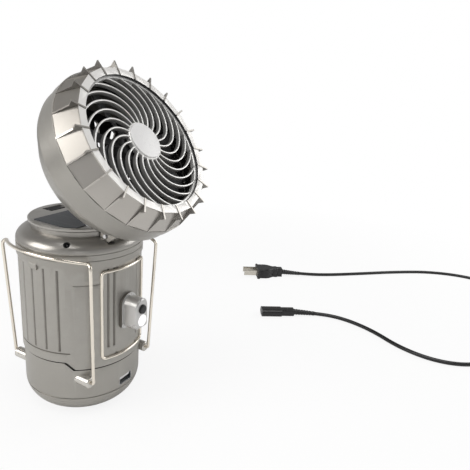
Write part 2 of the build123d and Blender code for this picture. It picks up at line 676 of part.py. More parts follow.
def hinge_trough():
    """Room for the head's arms to turn in."""
    reach = KNUCKLE_R + JOINT_GAP * 2
    inner = ARM_INNER_X - JOINT_GAP
    outer = ARM_INNER_X + ARM_W + JOINT_GAP * 2
    cut = bar_x(reach, inner, outer, HINGE_Y, HINGE_Z)
    tall = CAP_Z - HINGE_Z + KNUCKLE_R
    middle = (inner + outer) / 2
    cut += block((outer - inner, 2 * reach, tall), (middle, HINGE_Y, HINGE_Z + tall / 2))
    ahead = HINGE_BACK + KNUCKLE_R
    ahead_centre = (middle, HINGE_Y - ahead / 2, HINGE_Z + (tall - reach) / 2)
    cut += block((outer - inner, ahead, tall + reach), ahead_centre)
    return cut + mirror(cut, Plane.YZ)


def cap():
    z0 = SLEEVE_TOP_Z + SHOULDER_RISE + SEAT_GAP
    body = lathe((0, z0), (CAP_NECK_R, z0), (CAP_NECK_R, CAP_Z - CAP_LIP_H),
                 (CAP_LIP_R, CAP_Z - CAP_LIP_H + CAP_LIP_SLOPE), (CAP_LIP_R, CAP_Z - CAP_EDGE),
                 (CAP_LIP_R - CAP_EDGE, CAP_Z), (0, CAP_Z))
    half = ARM_INNER_X - JOINT_GAP
    knuckle = bar_x(KNUCKLE_R, -half, half, HINGE_Y, HINGE_Z)
    bridge_h = BRIDGE_BELOW + KNUCKLE_R
    bridge_centre = (0, HINGE_Y + BRIDGE_LENGTH / 2, HINGE_Z - BRIDGE_BELOW + bridge_h / 2)
    body = body + knuckle + block((2 * half, BRIDGE_LENGTH, bridge_h), bridge_centre)
    body -= dome(SEAT_GAP)
    body -= hinge_trough()
    body -= bar_x(HINGE_PIN_R + SEAT_GAP, -CAP_LIP_R, CAP_LIP_R, HINGE_Y, HINGE_Z)
    body -= solar_plate(SEAT_GAP)
    well = block((SWITCH_WELL[0], SWITCH_WELL[1], SWITCH_WELL[2] * 2), (0, SWITCH_Y, CAP_Z))
    return body - well


def solar_plate(gap=0.0):
    sheet = RectangleRounded(SOLAR_SIZE[0] + 2 * gap, SOLAR_SIZE[1] + 2 * gap, SOLAR_CORNER_R)
    z0 = CAP_Z + SOLAR_PROUD - SOLAR_SIZE[2]
    plate = Pos(0, SOLAR_Y, z0) * extrude(sheet, SOLAR_SIZE[2])
    return plate & disc(CAP_LIP_R - SOLAR_RIM + gap, z0, CAP_Z + SOLAR_SIZE[2])


def fan_rocker():
    """Rocker of the fan's switch, pivoting about X in the cap's well."""
    w, d = ROCKER_SIZE[:2]
    side = Polyline((-d / 2, -ROCKER_FOOT), (d / 2, -ROCKER_FOOT), (d / 2, ROCKER_TOP),
                    (0, ROCKER_TOP - ROCKER_DISH), (-d / 2, ROCKER_TOP), close=True)
    body = extrude(Plane.YZ * make_face(side), w / 2, both=True)
    return Pos(0, SWITCH_Y, CAP_Z - SWITCH_WELL[2] + ROCKER_AXIS_UP) * body


def rocker_frame():
    """Frame round the rocker."""
    w, d, h = SWITCH_WELL
    play_x, play_y = ROCKER_PLAY
    outline = Rectangle(w - 2 * SEAT_GAP, d - 2 * SEAT_GAP)
    outline -= Rectangle(ROCKER_SIZE[0] + play_x, ROCKER_SIZE[1] + play_y)
    return Pos(0, SWITCH_Y, CAP_Z - h + SEAT_GAP) * extrude(outline, h - FRAME_DROP)


def dc_jack():
    """Charging jack pressed into the shoulder: a barrel with its centre pin."""
    floor_z = JACK_FLOOR_T - JACK_LENGTH
    barrel = disc(JACK_R, -JACK_LENGTH, 0) - disc(JACK_R - JACK_WALL, floor_z, OVERCUT)
    return at_jack(barrel + disc(JACK_PIN_R, floor_z, -JACK_WALL))


# ---------------------------------------------------------------- torch
def arch(inset):
    """Torch outline in XZ, in or out by the inset: a round head on a straight body."""
    width, height = TORCH_W - 2 * inset, TORCH_H - 2 * inset
    r = width / 2
    body = Pos(0, -r / 2) * Rectangle(width, height - r) + Pos(0, height / 2 - r) * Circle(r)
    return fillet(body.vertices().group_by(Axis.Y)[0], TORCH_FOOT_R)


def along_front(face, y_near, y_far):
    """Extrudes an XZ outline from y_near out to y_far (both measured outwards)."""
    return Pos(0, -y_near, TORCH_Z) * Rot(90, 0, 0) * extrude(face, y_far - y_near)


def torch():
    """Housing, lens, reflector and push button on the sleeve's front."""
    wall_out = wall_radius(TORCH_Z)
    front = wall_out + TORCH_REACH
    flange = along_front(arch(-TORCH_FLANGE), wall_out - SLEEVE_WALL, wall_out + TORCH_FLANGE_T)
    housing = along_front(arch(0), wall_out, front)
    housing = chamfer(housing.faces().sort_by(Axis.Y)[0].edges(), TORCH_EDGE)
    body = flange + housing - along_front(arch(TORCH_WALL), wall_out + OVERCUT, front - TORCH_WALL)
    low, high = TORCH_Z - TORCH_H, TORCH_Z + TORCH_H
    low_r, high_r = wall_radius(low) + SEAT_GAP, wall_radius(high) + SEAT_GAP
    body -= lathe((0, low), (low_r, low), (high_r, high), (0, high))
    lens_z = TORCH_Z - TORCH_LENS_DROP
    button_z = TORCH_Z + TORCH_BUTTON_RISE
    inside = -front + TORCH_WALL
    body -= bar_y(TORCH_LENS_R + SEAT_GAP, -front - OVERCUT, inside + OVERCUT, 0, lens_z)
    body -= bar_y(TORCH_BUTTON_R + JOINT_GAP, -front - OVERCUT, inside + OVERCUT, 0, button_z)
    lens = bar_y(TORCH_LENS_R, -front - TORCH_LENS_PROUD, inside, 0, lens_z)
    bowl = cone_y(TORCH_LENS_R, REFLECTOR_R, REFLECTOR_DEPTH, inside + SEAT_GAP, lens_z)
    hollow = [size - REFLECTOR_WALL for size in (TORCH_LENS_R, REFLECTOR_R, REFLECTOR_DEPTH)]
    bowl -= cone_y(*hollow, inside + SEAT_GAP, lens_z)
    back = inside + TORCH_BUTTON_TRAVEL
    button = bar_y(TORCH_BUTTON_R, -front - TORCH_BUTTON_PROUD, back, 0, button_z)
    button = fillet(button.edges().sort_by(Axis.Y)[0], TORCH_BUTTON_ROUND)
    button += bar_y(TORCH_BUTTON_R + TORCH_BUTTON_RIM, inside + JOINT_GAP, back, 0, button_z)
    return body, lens, bowl, button


def torch_guard():
    """Wire frame round the torch, bent to the sleeve and set into its wall."""
    z_low, z_high = GUARD_Z

    def at(angle, z):
        return front_angle(wall_radius(z) + GUARD_WIRE_R - GUARD_SINK, angle, z)

    a = GUARD_HALF_ANGLE
    c = GUARD_CORNER_R
    turn = math.degrees(c / SLEEVE_R_TOP)
    bars = [
        ThreePointArc(at(-a + turn, z_low), at(0, z_low), at(a - turn, z_low)),
        Line(at(a, z_low + c), at(a, z_high - c)),
        ThreePointArc(at(a - turn, z_high), at(0, z_high), at(-a + turn, z_high)),
        Line(at(-a, z_high - c), at(-a, z_low + c)),
    ]
    return bent_wire(bars, GUARD_PULL, GUARD_WIRE_R, True)


# ---------------------------------------------------------------- sockets
def usb_socket():
    w, d, h = USB_SIZE
    y_out = USB_SINK - BASE_R
    can = block((w, d, h), (USB_X, y_out + d / 2, USB_Z))
    inside = block((w - 2 * USB_WALL, d, h - 2 * USB_WALL), (USB_X, y_out + d / 2 - USB_WALL, USB_Z))
    outline = Rectangle(w - 4 * USB_WALL, USB_TONGUE_T)
    back = Pos(USB_X, y_out + d - USB_WALL, USB_Z + USB_TONGUE_RISE)
    tongue = back * Rot(90, 0, 0) * extrude(outline, d - 3 * USB_WALL)
    return can - inside, tongue


def inlet_outside():
    """Width and height of the inlet's body round the connector's mouth."""
    return tuple(side + INLET_FIT + 2 * INLET_WALL for side in CONNECTOR_SIZE[:2])


def ac_inlet():
    """Two-pin inlet at the back of the base."""
    w, h = inlet_outside()
    y_out = BASE_R - INLET_SINK
    body = block((w, INLET_DEPTH, h), (0, y_out - INLET_DEPTH / 2, INLET_Z))
    mouth = RectangleRounded(w - 2 * INLET_WALL, h - 2 * INLET_WALL, CONNECTOR_CORNER_R)
    body -= Pos(0, y_out, INLET_Z) * Rot(90, 0, 0) * extrude(mouth, INLET_DEPTH - INLET_WALL)
    y_in = y_out - INLET_DEPTH + INLET_WALL
    tip_y = y_out - INLET_PIN_SINK
    pins = [bar_y(INLET_PIN_R, y_in, tip_y, side * INLET_PIN_GAP / 2, INLET_Z) for side in SIDES]
    return body, group(pins)


# ---------------------------------------------------------------- fan head
def tilt(shape):
    """Puts a piece of the head, built about its own axis, on the hinge."""
    return Pos(0, HINGE_Y, HINGE_Z) * Rot(HEAD_TILT, 0, 0) * Pos(0, HINGE_DROP, HINGE_BACK) * shape


def back_profile(inset):
    """Outline of the back shell's outside, moved inwards by the inset."""
    edge_in, edge_up = BACK_EDGE
    round_in, round_up = BACK_ROUND
    wide = BAND_R - BACK_STEP - inset
    shoulder_z = BACK_ROUND_Z - round_up + inset / 2
    return ((0, inset), (BACK_R - edge_in, inset), (BACK_R - inset / 2, inset / 2 + edge_up),
            (wide - round_in, shoulder_z), (wide, BACK_ROUND_Z), (wide, BAND_Z), (0, BAND_Z))


def back_shell():
    shell = lathe(*back_profile(0)) - lathe(*back_profile(HEAD_WALL))
    slot = Pos((SLOT_R[0] + SLOT_R[1]) / 2, 0) * SlotOverall(SLOT_R[1] - SLOT_R[0], SLOT_W)
    for cut in around(extrude(slot, HEAD_WALL), BACK_SLOTS):
        shell -= cut
    post = Pos(HEAD_SCREW_R, 0, 0) * disc(HEAD_POST_R, HEAD_WALL, BAND_Z - HEAD_POST_TOP)
    hole = Pos(HEAD_SCREW_R, 0, 0) * disc(SCREW_R + SEAT_GAP, 0, BAND_Z)
    for place, bore in zip(around(post, HEAD_SCREWS), around(hole, HEAD_SCREWS)):
        shell += Rot(0, 0, 180 / HEAD_SCREWS) * place
        shell -= Rot(0, 0, 180 / HEAD_SCREWS) * bore
    return shell


def head_screws():
    body = Pos(HEAD_SCREW_R, 0, 0) * Rot(180, 0, 0) * screw(HEAD_SCREW_LENGTH)
    return group([Rot(0, 0, 180 / HEAD_SCREWS) * s for s in around(body, HEAD_SCREWS)])


def head_band():
    """Smooth band with a spigot in the back shell."""
    z0, z1 = BAND_Z + SEAT_GAP, BEZEL_Z
    inner = BAND_R - BACK_STEP - HEAD_WALL - SEAT_GAP
    ring = tube(BAND_R, inner - HEAD_WALL / 2, z0, z1)
    return ring + tube(inner, inner - HEAD_WALL, z0 - 2 * HEAD_WALL, z0 + HEAD_WALL)


def fin():
    """One fin: it grows from the drum's back edge to a tip past the front ring."""
    z0, z1 = BEZEL_Z + SEAT_GAP, HEAD_DEPTH
    hook_in, hook_down = FIN_HOOK
    top = z1 + FIN_PROUD
    side = Polyline((OPENING_R, z1 - LIP_T), (OPENING_R, top), (FIN_TIP_R, top),
                    (FIN_TIP_R - hook_in, z1 - hook_down), (BAND_R, z0), (BEZEL_BACK_R - HEAD_WALL / 2, z0),
                    close=True)
    return Rot(90, 0, 0) * extrude(make_face(side), FIN_T / 2, both=True)


def head_bezel():
    """Finned drum: flat panels between thin fins, open at the front."""
    z0, z1 = BEZEL_Z + SEAT_GAP, HEAD_DEPTH
    flat = math.cos(math.pi / FINS)
    rim_z = z1 - BEZEL_RIM_H
    back = Pos(0, 0, z0) * RegularPolygon(BEZEL_BACK_R / flat, FINS)
    front = Pos(0, 0, rim_z) * RegularPolygon(BEZEL_FRONT_R / flat, FINS)
    drum = loft([back, front]) + extrude(front, BEZEL_RIM_H)
    for one in around(fin(), FINS):
        drum += one
    lip_z = z1 - LIP_T
    inner = lathe((0, z0), (BEZEL_BACK_R - HEAD_WALL, z0), (BEZEL_FRONT_R - HEAD_WALL, lip_z), (0, lip_z))
    return Rot(0, 0, FIN_PHASE) * (drum - inner - disc(OPENING_R, z0, z1 + 2 * FIN_PROUD))


def grille_blade():
    """One spiral blade from the badge out to the ring, as a bent strip."""
    r0, r1 = BADGE_R - GRILLE_BLADE_T / 2, OPENING_R - SEAT_GAP - GRILLE_RING_T / 2
    line = []
    for i in range(GRILLE_BLADE_STEPS + 1):
        s = i / GRILLE_BLADE_STEPS
        r = r0 + (r1 - r0) * s
        a = math.radians(GRILLE_SWEEP * s ** GRILLE_CURVE)
        line.append((r * math.cos(a), r * math.sin(a)))
    curve = Spline(*line)
    section = Plane(origin=curve @ 0, z_dir=curve % 0) * Rectangle(GRILLE_BLADE_T, GRILLE_BLADE_H)
    return Pos(0, 0, HEAD_DEPTH - GRILLE_SINK - GRILLE_BLADE_H / 2) * sweep(section, path=curve)


def spiral_grille():
    """Ring, ledge and hub with a blade for each fin."""
    z1 = HEAD_DEPTH - GRILLE_SINK
    inner = OPENING_R - GRILLE_RING_T
    ledge_z = HEAD_DEPTH - LIP_T - SEAT_GAP
    whole = tube(OPENING_R - SEAT_GAP, inner, z1 - GRILLE_BLADE_H, z1)
    whole += tube(OPENING_R + GRILLE_LEDGE_W, inner, ledge_z - GRILLE_LEDGE_T, ledge_z)
    whole += disc(BADGE_R, z1 - GRILLE_BLADE_H, z1 - BADGE_T / 2)
    for blade in around(Rot(0, 0, FIN_PHASE - GRILLE_SWEEP) * grille_blade(), FINS):
        whole += blade
    return whole


def badge():
    """Bare disc in the middle of the grille."""
    z0 = HEAD_DEPTH - GRILLE_SINK - BADGE_T / 2
    plate = disc(BADGE_R - BADGE_RIM, z0, z0 + BADGE_T)
    return fillet(plate.edges().sort_by(Axis.Z)[-1], BADGE_ROUND)


def motor():
    z0 = HEAD_WALL + MOTOR_CUP_FLOOR
    z1 = z0 + MOTOR_H
    can = fillet(disc(MOTOR_R, z0, z1).edges().sort_by(Axis.Z)[-1], MOTOR_EDGE_R)
    can += disc(MOTOR_NECK_R, z1, z1 + MOTOR_NECK_H)
    return can - disc(MOTOR_SHAFT_R + PIN_GAP, z0, z1 + 2 * MOTOR_NECK_H)


def motor_mount():
    """Cup that holds the motor on the back shell."""
    z0, z1 = HEAD_WALL, HEAD_WALL + MOTOR_CUP_H
    return disc(MOTOR_R + MOTOR_CUP_WALL, z0, z1) - disc(MOTOR_R + SEAT_GAP, z0 + MOTOR_CUP_FLOOR, z1)


def impeller():
    """Hub cup with pitched blades that widen towards their tips."""
    z0, z1 = IMPELLER_Z
    roof = z1 - IMPELLER_HUB_TOP
    cavity = disc(IMPELLER_HUB_R - IMPELLER_HUB_WALL, z0 - OVERCUT, roof)
    hub = fillet(disc(IMPELLER_HUB_R, z0, z1).edges().sort_by(Axis.Z)[-1], IMPELLER_HUB_ROUND) - cavity
    hub += disc(IMPELLER_BOSS_R, z0, roof)
    hub -= disc(MOTOR_SHAFT_R + SEAT_GAP, z0 - OVERCUT, roof)
    root_r = IMPELLER_HUB_R - BLADE_ROOT
    stand = Rot(0, 90, 0)
    middle = (z0 + z1) / 2
    root = Pos(root_r, 0, middle) * Rot(IMPELLER_PITCH, 0, 0) * stand
    tip = Pos(IMPELLER_R + BLADE_ROOT, 0, middle) * Rot(IMPELLER_TIP_PITCH, 0, 0) * stand
    foil = loft([root * Rectangle(IMPELLER_BLADE_T, IMPELLER_ROOT_CHORD),
                 tip * Rectangle(IMPELLER_TIP_T, IMPELLER_TIP_CHORD)])
    foil = foil & disc(IMPELLER_R, z0, z1)
    for blade in around(foil - cavity, IMPELLER_BLADES):
        hub += blade
    return hub


def motor_shaft():
    return disc(MOTOR_SHAFT_R, HEAD_WALL + SHAFT_ROOT, IMPELLER_Z[1] - IMPELLER_HUB_TOP - SEAT_GAP)


def hinge_yoke():
    """Two arms on a plate under the back shell, round at the hinge axis."""
    x0, x1 = ARM_INNER_X, ARM_INNER_X + ARM_W
    y = -HINGE_DROP
    arm = bar_x(KNUCKLE_R, x0, x1, y, -HINGE_BACK)
    arm += block((ARM_W, 2 * KNUCKLE_R, HINGE_BACK), ((x0 + x1) / 2, y, -HINGE_BACK / 2))
    arm -= bar_x(HINGE_PIN_R + PIN_GAP, x0, x1, y, -HINGE_BACK)
    plate = block((2 * x1, 2 * KNUCKLE_R, YOKE_PLATE_T), (0, y, -YOKE_PLATE_T / 2))
    return arm + mirror(arm, Plane.YZ) + plate


def hinge_pin():
    reach = ARM_INNER_X + ARM_W + HINGE_PIN_END
    return bar_x(HINGE_PIN_R, -reach, reach, HINGE_Y, HINGE_Z)


# ---------------------------------------------------------------- supply cord
def floor_route(points):
    """Route with tangent arcs, each as large as its two runs allow."""
    radii = []
    for a, b, c in zip(points, points[1:], points[2:]):
        u, v = Vector(*b) - Vector(*a), Vector(*c) - Vector(*b)
        turn = math.radians(u.get_angle(v))
        radii.append(RUN_SHARE * min(u.length, v.length) / math.tan(turn / 2))
    return FilletPolyline(*points, radius=radii)


def cord_tube(points):
    """Stretch of cord that lies free, cut to meet the coil and its end piece."""
    path = floor_route(points)
    solid = sweep(Plane(origin=path @ 0, z_dir=path % 0) * Circle(CORD_R), path=path)
    share = solid.volume / (math.pi * CORD_R ** 2 * path.length)
    print("cord length", round(path.length), "volume share", round(share, 4))
    return solid - cord_coil() - plug()[0] - connector()


def cord_route(exit_point, exit_z, floor_points):
    """From an end piece down to the floor and along it to the coil."""
    halfway = (exit_z + CORD_R) / 2
    heights = [halfway] + [CORD_R] * (len(floor_points) - 1)
    return [(*exit_point, exit_z)] + [(x, y, z) for (x, y), z in zip(floor_points, heights)]


def cord_coil():
    """Outside of the coiled middle of the cord."""
    wide = COIL_TURNS_WIDE * CORD_R
    ring = tube(COIL_MEAN_R + wide, COIL_MEAN_R - wide, 0, COIL_TURNS_HIGH * 2 * CORD_R)
    return Pos(*COIL_CENTRE, 0) * fillet(ring.edges(), COIL_EDGE_R)


def plug():
    """Moulded two-blade plug lying flat, blades away from the cord."""
    width, thick = PLUG_BODY
    flange_y = PLUG_LENGTH - PLUG_FLANGE_T
    neck_half, neck_end = PLUG_NECK
    collar_half, collar_start, collar_end = PLUG_COLLAR
    half = [(neck_half, 0), (neck_half, neck_end), (collar_half, collar_start), (collar_half, collar_end),
            PLUG_WAIST, PLUG_SHOULDER, PLUG_SIDE, (PLUG_SIDE[0], flange_y),
            (width / 2, flange_y), (width / 2, PLUG_LENGTH)]
    outline = Polyline(*half, *[(-x, y) for x, y in reversed(half)], close=True)
    body = extrude(make_face(outline), thick)
    body = chamfer(body.edges().filter_by(Plane.XY).group_by(Axis.Z)[-1], PLUG_EDGE)
    tall, thin, long = PLUG_BLADE
    blades = []
    for side in SIDES:
        x = side * PLUG_BLADE_GAP / 2
        centre = (x, PLUG_LENGTH + (long - PLUG_BLADE_ROOT) / 2, thick / 2)
        blade = block((thin, long + PLUG_BLADE_ROOT, tall), centre)
        pocket = (thin + 2 * SEAT_GAP, 2 * PLUG_BLADE_ROOT, tall + 2 * SEAT_GAP)
        body -= block(pocket, (x, PLUG_LENGTH, thick / 2))
        blades.append(chamfer(blade.faces().sort_by(Axis.Y)[-1].edges().filter_by(Axis.Z), thin / 3))
    place = Pos(*PLUG_EXIT, 0) * Rot(0, 0, END_TURN)
    return place * body, group([place * blade for blade in blades])


def connector():
    """Figure-eight connector lying flat, mouth away from the cord."""
    width, thick, long = CONNECTOR_SIZE
    grip_w, grip_t, grip_l = CONNECTOR_GRIP
    outline = RectangleRounded(grip_w, grip_t, grip_t / 4)
    body = Pos(0, 0, thick / 2) * Rot(-90, 0, 0) * extrude(outline, grip_l)
    nose = RectangleRounded(width, thick, CONNECTOR_CORNER_R)
    body += Pos(0, grip_l, thick / 2) * Rot(-90, 0, 0) * extrude(nose, long - grip_l)
    for side in SIDES:
        hole_x = side * INLET_PIN_GAP / 2
        body -= bar_y(CONNECTOR_HOLE_R, long - CONNECTOR_HOLE_DEPTH, long + OVERCUT, hole_x, thick / 2)
    return Pos(*CONNECTOR_EXIT, 0) * Rot(0, 0, END_TURN) * body


# ---------------------------------------------------------------- write
def write_base():
    save("base_shell", base_shell())
    save("bail_bosses", bail_bosses())
    save("foot_plate", foot_plate())
    save("foot_pads", foot_pads())
    save("foot_screws", foot_screws())
    for name, piece in zip(("battery_pack", "charge_board", "lamp_deck"), base_inside()):
        save(name, piece)
    for name, piece in zip(("lamp_globe", "led_column", "led_strips"), lamp()):
        save(name, piece)
    for name, piece in zip(("usb_shell", "usb_tongue"), usb_socket()):
        save(name, piece)
    for name, piece in zip(("inlet_socket", "inlet_pins"), ac_inlet()):
        save(name, piece)
    save("bail_left", bail(-1))
    save("bail_right", bail(1))


def write_sleeve():
    save("outer_sleeve", outer_sleeve())
    save("guide_ring", guide_ring())
    save("shoulder_ring", shoulder())
    save("top_cap", cap())
    save("solar_panel", solar_plate())
    save("rocker_frame", rocker_frame())
    save("fan_rocker", fan_rocker())
    save("dc_jack", dc_jack())
    for name, piece in zip(("torch_housing", "torch_lens", "torch_reflector", "torch_button"), torch()):
        save(name, piece)
    save("torch_guard", torch_guard())
    save("hinge_pin", hinge_pin())


def write_head():
    pieces = {
        "back_shell": back_shell, "head_screws": head_screws, "head_band": head_band,
        "head_bezel": head_bezel, "spiral_grille": spiral_grille, "grille_badge": badge,
        "fan_motor": motor, "motor_mount": motor_mount, "fan_impeller": impeller,
        "motor_shaft": motor_shaft, "hinge_yoke": hinge_yoke}
    for name, build in pieces.items():
        save(name, tilt(build()))


def write_cord():
    connector_z, plug_z = CONNECTOR_SIZE[1] / 2, PLUG_BODY[1] / 2
    save("cord_connector_run", cord_tube(cord_route(CONNECTOR_EXIT, connector_z, CONNECTOR_ROUTE)))
    save("cord_plug_run", cord_tube(cord_route(PLUG_EXIT, plug_z, PLUG_ROUTE)))
    save("cord_coil", cord_coil())
    for name, piece in zip(("plug_body", "plug_blades"), plug()):
        save(name, piece)
    save("cord_connector", connector())


write_base()
write_sleeve()
write_head()
write_cord()
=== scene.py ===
"""Looks of the portable camping fan: a lift-up lantern with a tilting fan head and its mains lead."""

import json
import math

import bmesh
import bpy
from mathutils import Matrix, Vector


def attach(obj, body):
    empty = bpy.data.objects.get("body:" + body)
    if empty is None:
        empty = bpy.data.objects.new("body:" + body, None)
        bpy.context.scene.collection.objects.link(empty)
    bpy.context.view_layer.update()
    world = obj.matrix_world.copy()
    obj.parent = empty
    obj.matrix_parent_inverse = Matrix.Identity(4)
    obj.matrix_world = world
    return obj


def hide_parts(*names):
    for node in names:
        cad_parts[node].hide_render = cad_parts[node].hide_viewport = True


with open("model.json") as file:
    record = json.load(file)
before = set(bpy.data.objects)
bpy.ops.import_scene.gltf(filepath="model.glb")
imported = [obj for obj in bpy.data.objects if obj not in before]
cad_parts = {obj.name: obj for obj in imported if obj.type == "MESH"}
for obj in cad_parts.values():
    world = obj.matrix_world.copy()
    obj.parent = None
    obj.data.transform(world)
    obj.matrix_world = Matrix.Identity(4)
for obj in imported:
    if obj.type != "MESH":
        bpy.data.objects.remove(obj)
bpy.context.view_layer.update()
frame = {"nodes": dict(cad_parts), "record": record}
BODY_OF = {node: body for body, nodes in frame["record"]["behaviour"]["bodies"].items() for node in nodes}
MM = 0.001
TURN = 2 * math.pi


def in_scene(name, data):
    """A new object, linked into the scene."""
    made = bpy.data.objects.new(name, data)
    bpy.context.scene.collection.objects.link(made)
    return made


# ------------------------------------------------------------------ camera
CAMERA_AZIMUTH = math.radians(-62.89)
CAMERA_ELEVATION = math.radians(17.567)
CAMERA_ROLL = -0.0762
CAMERA_PLACE = (-0.2614, -0.2612, 0.2488)
CAMERA_LENS = 38.464
SENSOR = 36.0
CLIP_NEAR, CLIP_FAR = 0.01, 30


def make_camera():
    """The camera, turned by its azimuth, elevation and roll in radians."""
    back = Vector((math.sin(CAMERA_AZIMUTH) * math.cos(CAMERA_ELEVATION),
                   -math.cos(CAMERA_AZIMUTH) * math.cos(CAMERA_ELEVATION),
                   math.sin(CAMERA_ELEVATION)))
    side = Vector((math.cos(CAMERA_AZIMUTH), math.sin(CAMERA_AZIMUTH), 0))
    rise = back.cross(side)
    right = side * math.cos(CAMERA_ROLL) - rise * math.sin(CAMERA_ROLL)
    up = side * math.sin(CAMERA_ROLL) + rise * math.cos(CAMERA_ROLL)
    data = bpy.data.cameras.new("camera")
    data.lens = CAMERA_LENS
    data.sensor_width = SENSOR
    data.clip_start = CLIP_NEAR
    data.clip_end = CLIP_FAR
    camera = in_scene("camera", data)
    turn = Matrix((right, up, back)).transposed().to_4x4()
    camera.matrix_world = Matrix.Translation(CAMERA_PLACE) @ turn
    bpy.context.scene.camera = camera


make_camera()


# ------------------------------------------------------------------ node helpers
FLOAT, COLOR, VECTOR, WHOLE = "NodeSocketFloat", "NodeSocketColor", "NodeSocketVector", "NodeSocketInt"
WHITE = (1, 1, 1, 1)


def rgb(code):
    """Linear colour of a #rrggbb code, by the sRGB curve."""
    parts = [int(code[i:i + 2], 16) / 255 for i in (1, 3, 5)]
    return [*[c / 12.92 if c <= 0.04045 else ((c + 0.055) / 1.055) ** 2.4 for c in parts], 1.0]


def connect(tree, socket, value):
    """Gives a socket a constant or another socket's value."""
    if isinstance(value, bpy.types.NodeSocket):
        tree.links.new(value, socket)
    else:
        socket.default_value = value


def feed(tree, node, **values):
    """Fills the sockets of these names; an underscore stands for a space."""
    for key, value in values.items():
        connect(tree, node.inputs[key.replace("_", " ")], value)


def add(tree, kind, **settings):
    """A node; keys that name a property set it, others fill the socket of that name."""
    node = tree.nodes.new(kind)
    for key, value in settings.items():
        if hasattr(node, key):
            setattr(node, key, value)
        else:
            feed(tree, node, **{key: value})
    return node


def math_node(tree, operation, a, b=0.0, clamp=False):
    """Result of a Math node; a and b are sockets or numbers."""
    node = add(tree, "ShaderNodeMath", operation=operation, use_clamp=clamp)
    connect(tree, node.inputs[0], a)
    connect(tree, node.inputs[1], b)
    return node.outputs[0]


def times(tree, a, b, clamp=False):
    return math_node(tree, "MULTIPLY", a, b, clamp)


def plus(tree, a, b):
    return math_node(tree, "ADD", a, b)


def minus(tree, a, b):
    return math_node(tree, "SUBTRACT", a, b)


def vector_math(tree, operation, a, b):
    """A Vector Math node; a and b are sockets or vectors."""
    node = add(tree, "ShaderNodeVectorMath", operation=operation)
    connect(tree, node.inputs[0], a)
    connect(tree, node.inputs[1], b)
    return node


def mix_colors(tree, share, a, b):
    """Two colours mixed by a share; each is a socket or a constant."""
    node = add(tree, "ShaderNodeMix", data_type="RGBA")
    for socket, value in ((0, share), (6, a), (7, b)):
        connect(tree, node.inputs[socket], value)
    return node.outputs[2]


def ranged(tree, value, start, end, low=0.0, high=1.0):
    """A value mapped from start and end to low and high, clamped."""
    return add(tree, "ShaderNodeMapRange", clamp=True, Value=value, From_Min=start, From_Max=end,
               To_Min=low, To_Max=high).outputs[0]


def noise(tree, vector, **settings):
    """Factor of a Noise Texture over a vector."""
    return add(tree, "ShaderNodeTexNoise", Vector=vector, **settings).outputs["Fac"]


def object_place(tree):
    """Place on the object, in its own frame."""
    return add(tree, "ShaderNodeTexCoord").outputs["Object"]


def swing(tree, factor, amount):
    """A noise factor as a swing of this amount around zero."""
    return times(tree, minus(tree, factor, 0.5), amount)


def tone(tree, tint, value):
    """A tint made lighter or darker by a factor."""
    return add(tree, "ShaderNodeHueSaturation", Color=tint, Value=value).outputs["Color"]


def group_tree(name, inputs, outputs, kind="ShaderNodeTree"):
    """Tree, input sockets and output node of a new group with inputs {name: (type, default)}."""
    tree = bpy.data.node_groups.new(name, kind)
    for label, (socket, default) in inputs.items():
        made = tree.interface.new_socket(label, in_out="INPUT", socket_type=socket)
        if default is not None:
            made.default_value = default
    for label, socket in outputs.items():
        tree.interface.new_socket(label, in_out="OUTPUT", socket_type=socket)
    return tree, tree.nodes.new("NodeGroupInput").outputs, tree.nodes.new("NodeGroupOutput")


# ------------------------------------------------------------------ shared surface effects
# noise scales are per metre; rubbing and the darkening of sunken corners go from none to full between the two
# values of pointiness
GRAIN_SCALE, DRIFT_SCALE, PATCH_SCALE = 3200.0, 38.0, 160.0
RAISED, SUNKEN = (0.515, 0.60), (0.485, 0.42)
# near-black colour that sunken corners are darkened towards
CORNER_DARK_TINT = (0.03, 0.028, 0.025, 1)
DRAWN_STRETCH = (900.0, 900.0, 60.0)
DRAWN_SPREAD = 0.14


def moulded_grain():
    """Fine spark-eroded grain with a slow drift of tone, for moulded and painted plastic."""
    tree, put, out = group_tree(
        "moulded_grain",
        {"Tint": (COLOR, (0.5, 0.5, 0.5, 1)), "Grain Size": (FLOAT, 1.0), "Drift": (FLOAT, 0.06),
         "Flake": (FLOAT, 0.0), "Smoothest": (FLOAT, 0.35), "Roughest": (FLOAT, 0.45)},
        {"Color": COLOR, "Roughness": FLOAT, "Height": FLOAT})
    place = object_place(tree)
    scale = math_node(tree, "DIVIDE", GRAIN_SCALE, put["Grain Size"])
    fine = noise(tree, place, Scale=scale, Detail=2.0, Roughness=0.6)
    slow = noise(tree, place, Scale=DRIFT_SCALE, Detail=3.0, Roughness=0.55)
    drifted = plus(tree, 1.0, times(tree, swing(tree, slow, put["Drift"]), 2.0))
    shade = plus(tree, drifted, swing(tree, fine, put["Flake"]))
    spread = minus(tree, put["Roughest"], put["Smoothest"])
    rough = plus(tree, put["Smoothest"], times(tree, spread, slow))
    feed(tree, out, Color=tone(tree, put["Tint"], shade), Roughness=rough, Height=fine)
    return tree


def edge_rub():
    """Paint rubbed bright along edges, and sunken corners darkened towards near-black."""
    tree, put, out = group_tree(
        "edge_rub",
        {"Tint": (COLOR, (0.5, 0.5, 0.5, 1)), "Pointiness": (FLOAT, 0.5), "Bare": (COLOR, (0.8, 0.8, 0.8, 1)),
         "Rub": (FLOAT, 0.5), "Dust": (FLOAT, 0.3)},
        {"Color": COLOR})
    patchy = noise(tree, object_place(tree), Scale=PATCH_SCALE, Detail=4.0, Roughness=0.6)
    raised = ranged(tree, put["Pointiness"], *RAISED)
    sunken = ranged(tree, put["Pointiness"], *SUNKEN)
    worn = times(tree, times(tree, raised, put["Rub"]), patchy, clamp=True)
    corner_darkening = times(tree, sunken, put["Dust"], clamp=True)
    rubbed = mix_colors(tree, worn, put["Tint"], put["Bare"])
    feed(tree, out, Color=mix_colors(tree, corner_darkening, rubbed, CORNER_DARK_TINT))
    return tree


